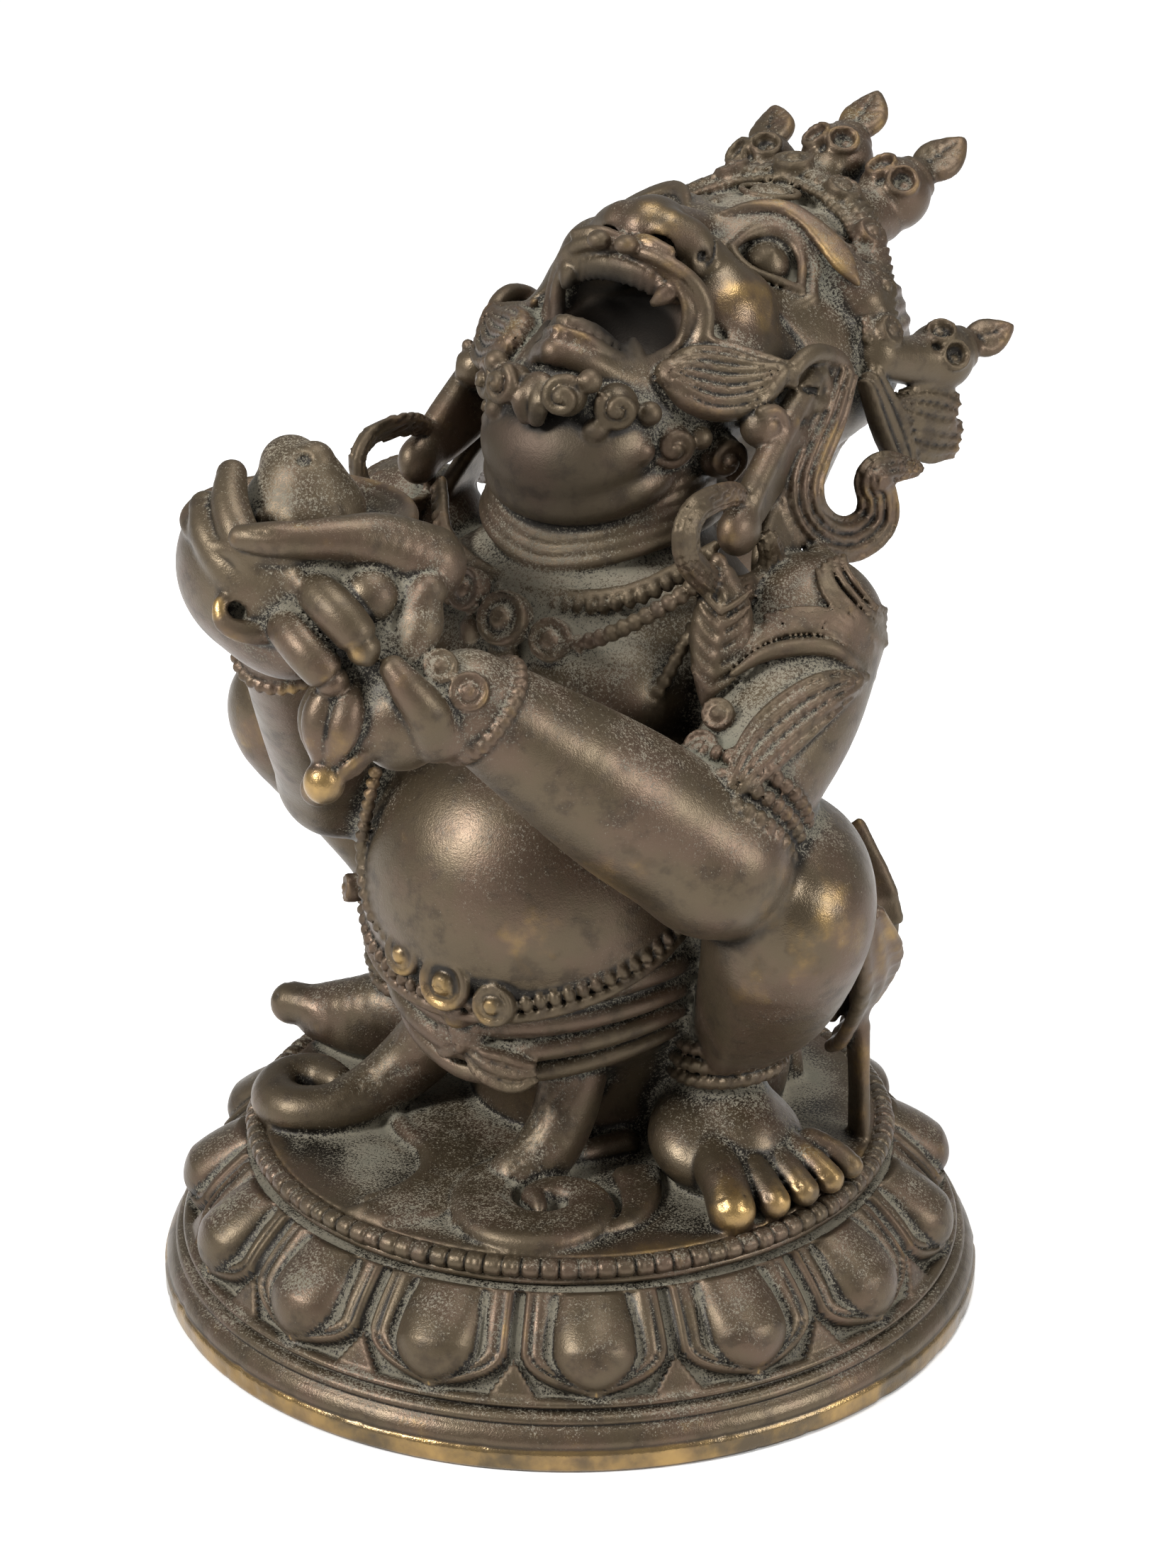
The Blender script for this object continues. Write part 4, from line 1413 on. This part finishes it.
def lathe(name, radius, height, angle, shift=(0, 0)):
    """A turned skin: rows by columns of radius and height, closed round, no ends."""
    rows, columns = radius.shape
    x = radius * np.cos(angle) + np.asarray(shift[0]) * np.ones_like(radius)
    y = radius * np.sin(angle) + np.asarray(shift[1]) * np.ones_like(radius)
    places = np.stack([x, y, height], 2).reshape(-1, 3)
    index = np.arange(rows * columns).reshape(rows, columns)
    a, b = index[:-1], index[1:]
    faces = np.stack([a, b, np.roll(b, -1, 1), np.roll(a, -1, 1)], 2).reshape(-1, 4)
    return mesh_object(name, places, faces)


def spread(values, rows, columns):
    """Values on a turned skin averaged over a patch of so many rows and columns."""
    total = sum(np.roll(values, i, 1) for i in range(-columns, columns + 1)) / (2 * columns + 1)
    tall = np.pad(total, ((rows, rows), (0, 0)), mode="edge")
    return sum(tall[i:i + len(values)] for i in range(2 * rows + 1)) / (2 * rows + 1)


def smooth_step(low, high, value):
    """0 at low, 1 at high, with an easy start and end."""
    t = np.clip((value - low) / (high - low), 0, 1)
    return t * t * (3 - 2 * t)


def bump(value, middle, width):
    """1 at the middle, falling away on both sides."""
    return np.exp(-((value - middle) / width) ** 2)


# Lotus base

BASE_RADIUS = 52.0
BASE_HEIGHT = 18.6
TOP_RADIUS = 41.0
FOOT = (48.6, 8.2)
PETALS = 15
PETAL_COLUMNS = 40
PETAL_TURN = math.radians(-53.4)
PETAL_ROWS = 60
# A petal's outline: gap to the next, share of its length that closes, bluntness, ground's depth
PETAL_GAP = 0.75
PETAL_CLOSING = 0.50
PETAL_BLUNT = 3.0
GROUND_DEPTH = 1.5
# The egg in each petal: where it is widest from the tip, its end's reach, half width, height
EGG_WIDEST = 5.2
EGG_TIP = 4.5
EGG_HALF = 5.15
EGG_RISE = 3.0
FLOOR = 3.0
SLOPE_SWELL = 0.95
RIM_DENTS = 70


def petal(across, along, pitch, length):
    """Height of the relief at a place on the slope, and how far in from the petal's outline it is.

    across is -1 to 1 from one gap to the next, along 0 at the tip to 1 at the root.
    """
    x, v = np.abs(across) * pitch, along * length
    fall = np.clip((PETAL_CLOSING - along) / PETAL_CLOSING, 0, 1)
    outline = (pitch - PETAL_GAP) * (1 - fall ** PETAL_BLUNT)
    slope = (pitch - PETAL_GAP) * PETAL_BLUNT * fall ** (PETAL_BLUNT - 1) / PETAL_CLOSING / length
    inside = (outline - x) / np.sqrt(1 + slope * slope)
    rise = -GROUND_DEPTH + GROUND_DEPTH * smooth_step(-0.35, 0.2, inside)
    rise += 0.5 * bump(inside, 0.55, 0.40) - 0.30 * bump(inside, 1.15, 0.22) + 0.2 * bump(inside, 1.9, 0.6)
    rise -= 0.75 * smooth_step(2.1, 3.4, inside)
    gap = pitch - x
    between_tips = smooth_step(0.0, 0.5, 3.3 * (1 - along / 0.38) - gap) * (inside < 0)
    rise = np.where(inside < 0, np.maximum(rise, -GROUND_DEPTH + 1.35 * between_tips), rise)
    rise += (inside < 0.2) * 0.5 * bump(gap, 0, 0.35) * smooth_step(0.3, 0.5, along)
    past = np.maximum(v - EGG_WIDEST, 0)
    lobe = np.where(v < EGG_WIDEST, np.sqrt(np.clip(1 - ((v - EGG_WIDEST) / EGG_TIP) ** 2, 0, 1)),
                    1 - 0.0042 * past ** 2)
    half = EGG_HALF * lobe + 1e-6
    tall = EGG_RISE * np.where(v < EGG_WIDEST, lobe ** 0.8, 1 - past * 0.085)
    share = np.clip(1 - (x / half) ** 2, 0, 1)
    egg = -0.8 + (0.8 + tall) * share ** 0.5
    rise = np.maximum(rise, np.where(share > 0, egg, -5))
    rim = x - half
    rise += np.where(share > 0, 0, 0.28 * bump(rim, 0.65, 0.28) * (v > 1.2))
    return rise, share


def base_skin():
    """The base's whole outer skin: well, petalled slope, moulded foot and underside."""
    columns = PETALS * PETAL_COLUMNS
    angle = np.arange(columns) / columns * math.tau
    across = 2 * (((angle * PETALS / math.tau) + 0.5) % 1 - 0.5)
    length = math.hypot(FOOT[0] - TOP_RADIUS, BASE_HEIGHT - FOOT[1])
    out = ((BASE_HEIGHT - FOOT[1]) / length, (FOOT[0] - TOP_RADIUS) / length)
    well = [(0.4, FLOOR), (20, FLOOR), (42.6, FLOOR), (43.0, 3.4), (40, 11), (37.2, 18.2),
            (37.5, BASE_HEIGHT), (39, BASE_HEIGHT), (40.6, BASE_HEIGHT), (TOP_RADIUS, 18.4)]
    mould = [(48.9, 8.1), (49.3, 7.9), (49.5, 7.6), (49.4, 7.3), (48.9, 7.1), (48.7, 6.9), (49.1, 6.7),
             (49.7, 6.7), (50.2, 6.5), (50.5, 6.1), (50.5, 5.8), (50.2, 5.5), (50.3, 5.3), (50.8, 5.0),
             (51.2, 4.5), (51.5, 4.0), (51.7, 3.5), (51.6, 3.0), (51.75, 2.7),
             *((BASE_RADIUS, z) for z in (2.5, 2.0, 1.5, 1.0, 0.5)), (51.8, 0.1), (51.4, 0.0), (46, 0.0),
             (30, 0.0), (0.4, 0.0)]
    rows = []
    rises = []
    lobes = []
    flat = np.zeros(columns)
    for r, z in well:
        rows.append((flat + r, flat + z))
        rises.append(flat - 1.0)
        lobes.append(flat)
    for i in range(1, PETAL_ROWS):
        s = i / PETAL_ROWS
        lift = SLOPE_SWELL * math.sin(math.pi * s ** 1.1)
        radius = TOP_RADIUS + (FOOT[0] - TOP_RADIUS) * s
        rise, lobe = petal(across, np.full(columns, 1 - s), math.pi * radius / PETALS, length)
        rise = rise * smooth_step(0, 0.05, s) * smooth_step(0, 0.03, 1 - s)
        rows.append((radius + (lift + rise) * out[0],
                     BASE_HEIGHT + (FOOT[1] - BASE_HEIGHT) * s + (lift + rise) * out[1]))
        rises.append(rise)
        lobes.append(lobe)
    for r, z in mould:
        rows.append((flat + r, flat + z))
        rises.append(flat - 0.4)
        lobes.append(flat)
    radius = np.array([r for r, z in rows])
    height = np.array([z for r, z in rows])
    for _ in range(RIM_DENTS):
        where = RANDOM.uniform(0, math.tau)
        deep = RANDOM.uniform(0.05, 0.22)
        wide = RANDOM.uniform(0.008, 0.02)
        level = RANDOM.choice((0.4, 1.2, 2.4, 3.2))
        turn = (angle - where + math.pi) % math.tau - math.pi
        radius -= deep * bump(turn, 0, wide) * bump(height, level, 0.7) * (radius > 51)
    item = lathe("lotus_skin", radius, height, angle[None] + PETAL_TURN)
    rise = np.array(rises)
    near = rise - spread(rise, 2, 2)
    wide = rise - spread(rise, 7, 5)
    edge, groove = np.clip(near / 0.35, 0, 1), np.clip(-near / 0.35, 0, 1)
    proud, shade = np.clip(wide / 1.1, 0, 1), np.clip(-wide / 0.9, 0, 1)
    lobe = np.array(lobes)
    rim = (radius > 51.4) & (height < 2.8)
    ring = bump(height, 5.9, 0.5) * (radius > 50) + bump(height, 4.2, 0.7) * (radius > 51) * 0.6
    edge = np.maximum(edge, 0.25 * ring)
    groove = np.maximum(groove, 0.9 * (bump(height, 7.0, 0.35) * (radius < 49.2) * (radius > 48)
                                       + bump(height, 5.5, 0.18) * (radius < 50.4) * (radius > 50)
                                       + bump(height, 2.95, 0.16) * (radius > 51) * 0.6))
    tip = np.clip(lobe * smooth_step(10.5, 8.5, height), 0, 1) * (height > 7)
    rubbed = np.clip(rim + 0.35 * (radius > 50.6) * (height < 6.2) + 0.85 * tip, 0, 1)
    note_all(item, edge=edge, groove=groove, proud=np.maximum(proud, 0.8 * tip), shade=shade, rubbed=rubbed)
    return item


# The plate's beaded edge

BEADS = 110
BEAD_COLUMNS = 12
# A bead: radius of the ring of beads, height, thickness between beads, swell, depth over height
BEAD_RING = 39.75
BEAD_HEIGHT = -1.06
BEAD_NECK = 0.55
BEAD_SWELL = 0.72
BEAD_DEEPER = 1.15
PLATE_THICKNESS = 3.1
DOOR_TOP = -0.9
DOOR_RADIUS = 11.5
DOOR_Y = 3.0


def plate_rim():
    """The ring of cast beads and the band under it, from the plate's top to its underside."""
    columns = BEADS * BEAD_COLUMNS
    angle = np.arange(columns) / columns * math.tau
    grain = (angle * BEADS / math.tau) % 1
    number = (angle * BEADS / math.tau).astype(int)
    sizes = RANDOM.uniform(0.86, 1.06, BEADS)[number]
    leans = RANDOM.uniform(-0.05, 0.05, BEADS)[number]
    half = np.clip(np.abs(2 * (grain + leans) - 1), 0, 1)
    swell = np.sqrt(np.clip(1 - half ** 4.5, 0, 1)) * sizes
    swell = swell - 0.10 * bump(grain, 0.5, 0.10) * RANDOM.choice((0, 0, 1), BEADS)[number]
    flat = np.zeros(columns)
    rows = [(flat + 37.6, flat - 0.03), (flat + 38.3, flat - 0.03)]
    rises = [flat, flat]
    for i in range(13):
        turn = math.radians(148 - i * 20)
        reach = BEAD_NECK + BEAD_SWELL * swell
        rows.append((BEAD_RING + reach * BEAD_DEEPER * math.cos(turn), BEAD_HEIGHT + reach * math.sin(turn)))
        rises.append(swell)
    band = [(40.0, -2.15), (40.25, -2.3), (40.35, -2.6), (40.3, -2.9), (40.1, -PLATE_THICKNESS),
            (39.0, -PLATE_THICKNESS)]
    for r, z in band:
        rows.append((flat + r, flat + z))
        rises.append(flat + 0.5)
    radius = np.array([r for r, z in rows])
    height = np.array([z for r, z in rows])
    item = lathe("plate_beads", radius, height + LIFT, angle[None])
    rise = np.array(rises)
    near = rise - rise.mean(1, keepdims=True)
    none = np.zeros(rise.size)
    note_all(item, edge=np.clip(near * 2.2, 0, 1), groove=np.clip(-near * 1.6, 0, 1),
             proud=0.35 * (rise > 0.6), shade=none, rubbed=none)
    return item


def plate_underside():
    """The plate's flat underside and the wall of the round door in it."""
    columns = 96
    angle = np.arange(columns) / columns * math.tau
    flat = np.zeros(columns)
    rings = [(39.4, -PLATE_THICKNESS, 0.0), (25.0, -PLATE_THICKNESS, 0.5),
             (DOOR_RADIUS, -PLATE_THICKNESS, 1.0), (DOOR_RADIUS, DOOR_TOP, 1.0)]
    radius = np.array([flat + r for r, z, s in rings])
    height = np.array([flat + z for r, z, s in rings])
    shift = np.array([flat + DOOR_Y * s for r, z, s in rings])
    item = lathe("plate_underside", radius, height + LIFT, angle[None], shift=(0, shift))
    none = np.zeros(radius.size)
    note_all(item, edge=none, groove=none + 0.3, proud=none, shade=none)
    return item


# Bronze

class Nodes:
    """Short names for building a material's nodes."""

    def __init__(self, material):
        self.tree = material.node_tree

    def add(self, kind, **values):
        node = self.tree.nodes.new("ShaderNode" + kind)
        for name, value in values.items():
            setattr(node, name, value)
        return node

    def plug(self, socket, value):
        if isinstance(value, bpy.types.NodeSocket):
            self.tree.links.new(value, socket)
        elif value is not None:
            socket.default_value = value

    def math(self, operation, a, b=None, c=None, clamp=False):
        node = self.add("Math", operation=operation, use_clamp=clamp)
        for socket, value in zip(node.inputs, (a, b, c)):
            self.plug(socket, value)
        return node.outputs[0]

    def mix(self, share, a, b):
        node = self.add("Mix", data_type="RGBA")
        self.plug(node.inputs[0], share)
        self.plug(node.inputs[6], a)
        self.plug(node.inputs[7], b)
        return node.outputs[2]

    def noise(self, scale, detail=3.0, roughness=0.5, vector=None):
        node = self.add("TexNoise")
        node.inputs["Scale"].default_value = scale
        node.inputs["Detail"].default_value = detail
        node.inputs["Roughness"].default_value = roughness
        self.plug(node.inputs["Vector"], vector)
        return node.outputs["Fac"]

    def ramp(self, value, low, high, to_low=0.0, to_high=1.0):
        node = self.add("MapRange", interpolation_type="SMOOTHSTEP")
        self.plug(node.inputs[0], value)
        for socket, number in zip(node.inputs[1:5], (low, high, to_low, to_high)):
            socket.default_value = number
        return node.outputs[0]

    def total(self, start, *parts, clamp=False):
        """The start plus each part times its share, held to 0 to 1 at the end with clamp."""
        for k, (value, share) in enumerate(parts):
            start = self.math("MULTIPLY_ADD", value, share, start, clamp=clamp and k == len(parts) - 1)
        return start

    def read(self, name):
        return self.add("Attribute", attribute_name=name).outputs["Fac"]


FIGURE_WORN = 0.55
BASE_WORN = 0.62
DARK = (0.030, 0.021, 0.014, 1)
BROWN = (0.076, 0.056, 0.033, 1)
RED_BROWN = (0.084, 0.055, 0.036, 1)
BRASS = (0.36, 0.235, 0.090, 1)
DUST = (0.188, 0.168, 0.122, 1)
GREEN = (0.112, 0.115, 0.084, 1)
SOOT = (0.012, 0.010, 0.008, 1)


def bronze(name, worn):
    """Old brown bronze: brassy where rubbed, dusty in the hollows, dark in the deep ones."""
    material = bpy.data.materials.new(name)
    material.use_nodes = True
    shader = material.node_tree.nodes["Principled BSDF"]
    n = Nodes(material)
    place = n.add("TexCoord").outputs["Object"]
    clouds = n.noise(95, 4, 0.55, place)
    patches = n.noise(330, 4, 0.6, place)
    speck = n.noise(3000, 2, 0.6, place)
    grain = n.noise(6500, 1, 0.5, place)
    edge, groove = n.read("edge"), n.read("groove")
    proud, shade = n.read("proud"), n.read("shade")
    rubbed, soot = n.read("rubbed"), n.read("soot")
    body = n.mix(n.ramp(clouds, 0.40, 0.62), BROWN, RED_BROWN)
    body = n.mix(n.math("MULTIPLY", n.ramp(patches, 0.48, 0.70), 0.6), body, DARK)
    cloud_swing, patch_swing = n.math("SUBTRACT", clouds, 0.5), n.math("SUBTRACT", patches, 0.5)
    speck_swing, grain_swing = n.math("SUBTRACT", speck, 0.5), n.math("SUBTRACT", grain, 0.5)
    rub = n.total(n.math("MULTIPLY", proud, 0.22), (edge, 0.10), (rubbed, worn), (cloud_swing, 1.4),
                  (patch_swing, 0.8))
    rub = n.ramp(rub, 0.28, 0.95, 0.0, 0.80)
    body = n.mix(rub, body, BRASS)
    deep = n.total(n.math("MULTIPLY", shade, 0.95), (groove, 0.75))
    body = n.mix(n.ramp(deep, 0.05, 0.62, 0.0, 0.97), body, SOOT)
    facing = n.add("SeparateXYZ")
    n.plug(facing.inputs[0], n.add("NewGeometry").outputs["Normal"])
    up = n.ramp(facing.outputs[2], 0.15, 0.95)
    cover = n.total(n.math("MULTIPLY", shade, 0.42), (up, 0.28), (groove, 0.12), (cloud_swing, 1.0),
                    (patch_swing, 0.6), (edge, -0.22), (proud, -0.20), (rubbed, -0.40), (soot, -1.0),
                    (speck_swing, 1.5), (grain_swing, 1.2))
    dust = n.ramp(cover, 0.16, 0.74, 0.0, 0.78)
    powder = n.mix(n.ramp(clouds, 0.52, 0.70, 0.0, 0.55), DUST, GREEN)
    body = n.mix(dust, body, powder)
    body = n.mix(n.math("MULTIPLY", soot, 0.96), body, SOOT)
    n.plug(shader.inputs["Base Color"], body)
    shine = n.ramp(dust, 0.0, 0.6, 0.70, 0.05)
    n.plug(shader.inputs["Metallic"], n.math("MULTIPLY_ADD", rub, 0.25, shine, clamp=True))
    worked = n.math("MAXIMUM", edge, groove)
    rough = n.total(0.27, (patches, 0.24), (dust, 0.5), (soot, 0.4), (worked, 0.16), (rubbed, -0.10),
                    (rub, -0.12), clamp=True)
    n.plug(shader.inputs["Roughness"], rough)
    relief = n.total(n.math("MULTIPLY", speck, 0.5), (grain, 0.35), (patches, 0.9))
    bumps = n.add("Bump")
    bumps.inputs["Strength"].default_value = 0.35
    bumps.inputs["Distance"].default_value = 0.00018
    n.plug(bumps.inputs["Height"], relief)
    n.plug(shader.inputs["Normal"], bumps.outputs[0])
    return material


def settle(item, node, material):
    """Give a piece its material and its place in the frame."""
    item.data.materials.clear()
    item.data.materials.append(material)
    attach(item, "root")
    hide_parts(node)


# Camera, light and floor

FRAME_HEIGHT = 2212
FOCAL_PIXELS = 6794
SENSOR = 36.0
AIM_AZIMUTH = math.radians(33)
AIM_HEIGHT = math.radians(29.28)
AIM_YAW = math.radians(0.24)
AIM_PITCH = math.radians(23.65)
AIM_DISTANCE = 12 * BASE_RADIUS


# Lamps: name, place, size and power, in metres and watts
LAMPS = (("key", (-0.35, -0.70, 0.62), 0.26, 12.0), ("side", (0.80, 0.05, 0.40), 0.30, 5.0),
         ("roof", (0.10, 0.15, 1.10), 0.60, 9.0))
LAMP_AIM = (0, 0, 0.07)
WORLD_STRENGTH = 0.38
FLOOR_REACH = 6.0
FLOOR_DROP = 0.0001
FLOOR_PALE = 0.92


def set_camera():
    """The photograph's view, fixed by the base's ellipses."""
    spot = Vector((0, -AIM_DISTANCE * math.cos(AIM_HEIGHT), AIM_DISTANCE * math.sin(AIM_HEIGHT)))
    ahead = Vector((math.sin(AIM_YAW) * math.cos(AIM_PITCH), math.cos(AIM_YAW) * math.cos(AIM_PITCH),
                    -math.sin(AIM_PITCH)))
    right = Vector((math.cos(AIM_YAW), -math.sin(AIM_YAW), 0))
    up = right.cross(ahead)
    facing = Matrix((right, up, -ahead)).transposed().to_4x4()
    data = bpy.data.cameras.new("view")
    data.sensor_width = SENSOR
    data.lens = FOCAL_PIXELS * SENSOR / FRAME_HEIGHT
    data.clip_start = 0.01
    camera = bpy.data.objects.new("view", data)
    bpy.context.scene.collection.objects.link(camera)
    camera.matrix_world = Matrix.Rotation(AIM_AZIMUTH, 4, "Z") @ Matrix.Translation(spot * MM) @ facing
    bpy.context.scene.camera = camera


def area_light(name, spot, size, power):
    """A round lamp turned towards the figure."""
    data = bpy.data.lights.new(name, "AREA")
    data.shape = "DISK"
    data.size = size
    data.energy = power
    lamp = bpy.data.objects.new(name, data)
    bpy.context.scene.collection.objects.link(lamp)
    lamp.location = spot
    lamp.rotation_euler = (Vector(LAMP_AIM) - Vector(spot)).to_track_quat("-Z", "Y").to_euler()


def set_stage():
    """A pale floor, an even pale world and three lamps."""
    data = bpy.data.meshes.new("floor")
    corners = [(x * FLOOR_REACH, y * FLOOR_REACH, 0) for x, y in ((-1, -1), (1, -1), (1, 1), (-1, 1))]
    data.from_pydata(corners, [], [(0, 1, 2, 3)])
    floor = bpy.data.objects.new("floor", data)
    bpy.context.scene.collection.objects.link(floor)
    floor.location.z = -FLOOR_DROP
    pale = bpy.data.materials.new("pale floor")
    pale.use_nodes = True
    shader = pale.node_tree.nodes["Principled BSDF"]
    shader.inputs["Base Color"].default_value = (FLOOR_PALE, FLOOR_PALE, FLOOR_PALE, 1)
    shader.inputs["Roughness"].default_value = 0.9
    shader.inputs["Specular IOR Level"].default_value = 0.0
    data.materials.append(pale)
    world = bpy.data.worlds.new("studio")
    world.use_nodes = True
    world.node_tree.nodes["Background"].inputs["Color"].default_value = (1, 1, 1, 1)
    world.node_tree.nodes["Background"].inputs["Strength"].default_value = WORLD_STRENGTH
    bpy.context.scene.world = world
    for lamp in LAMPS:
        area_light(*lamp)
    bpy.context.scene.view_settings.view_transform = "Standard"


# Making it all

figure_bronze = bronze("figure bronze", FIGURE_WORN)
base_bronze = bronze("base bronze", BASE_WORN)
for region in REGIONS:
    settle(carve(*region), "figure", figure_bronze)
for made in (plate_rim(), plate_underside()):
    settle(made, "figure", figure_bronze)
settle(base_skin(), "lotus_base", base_bronze)
set_camera()
set_stage()
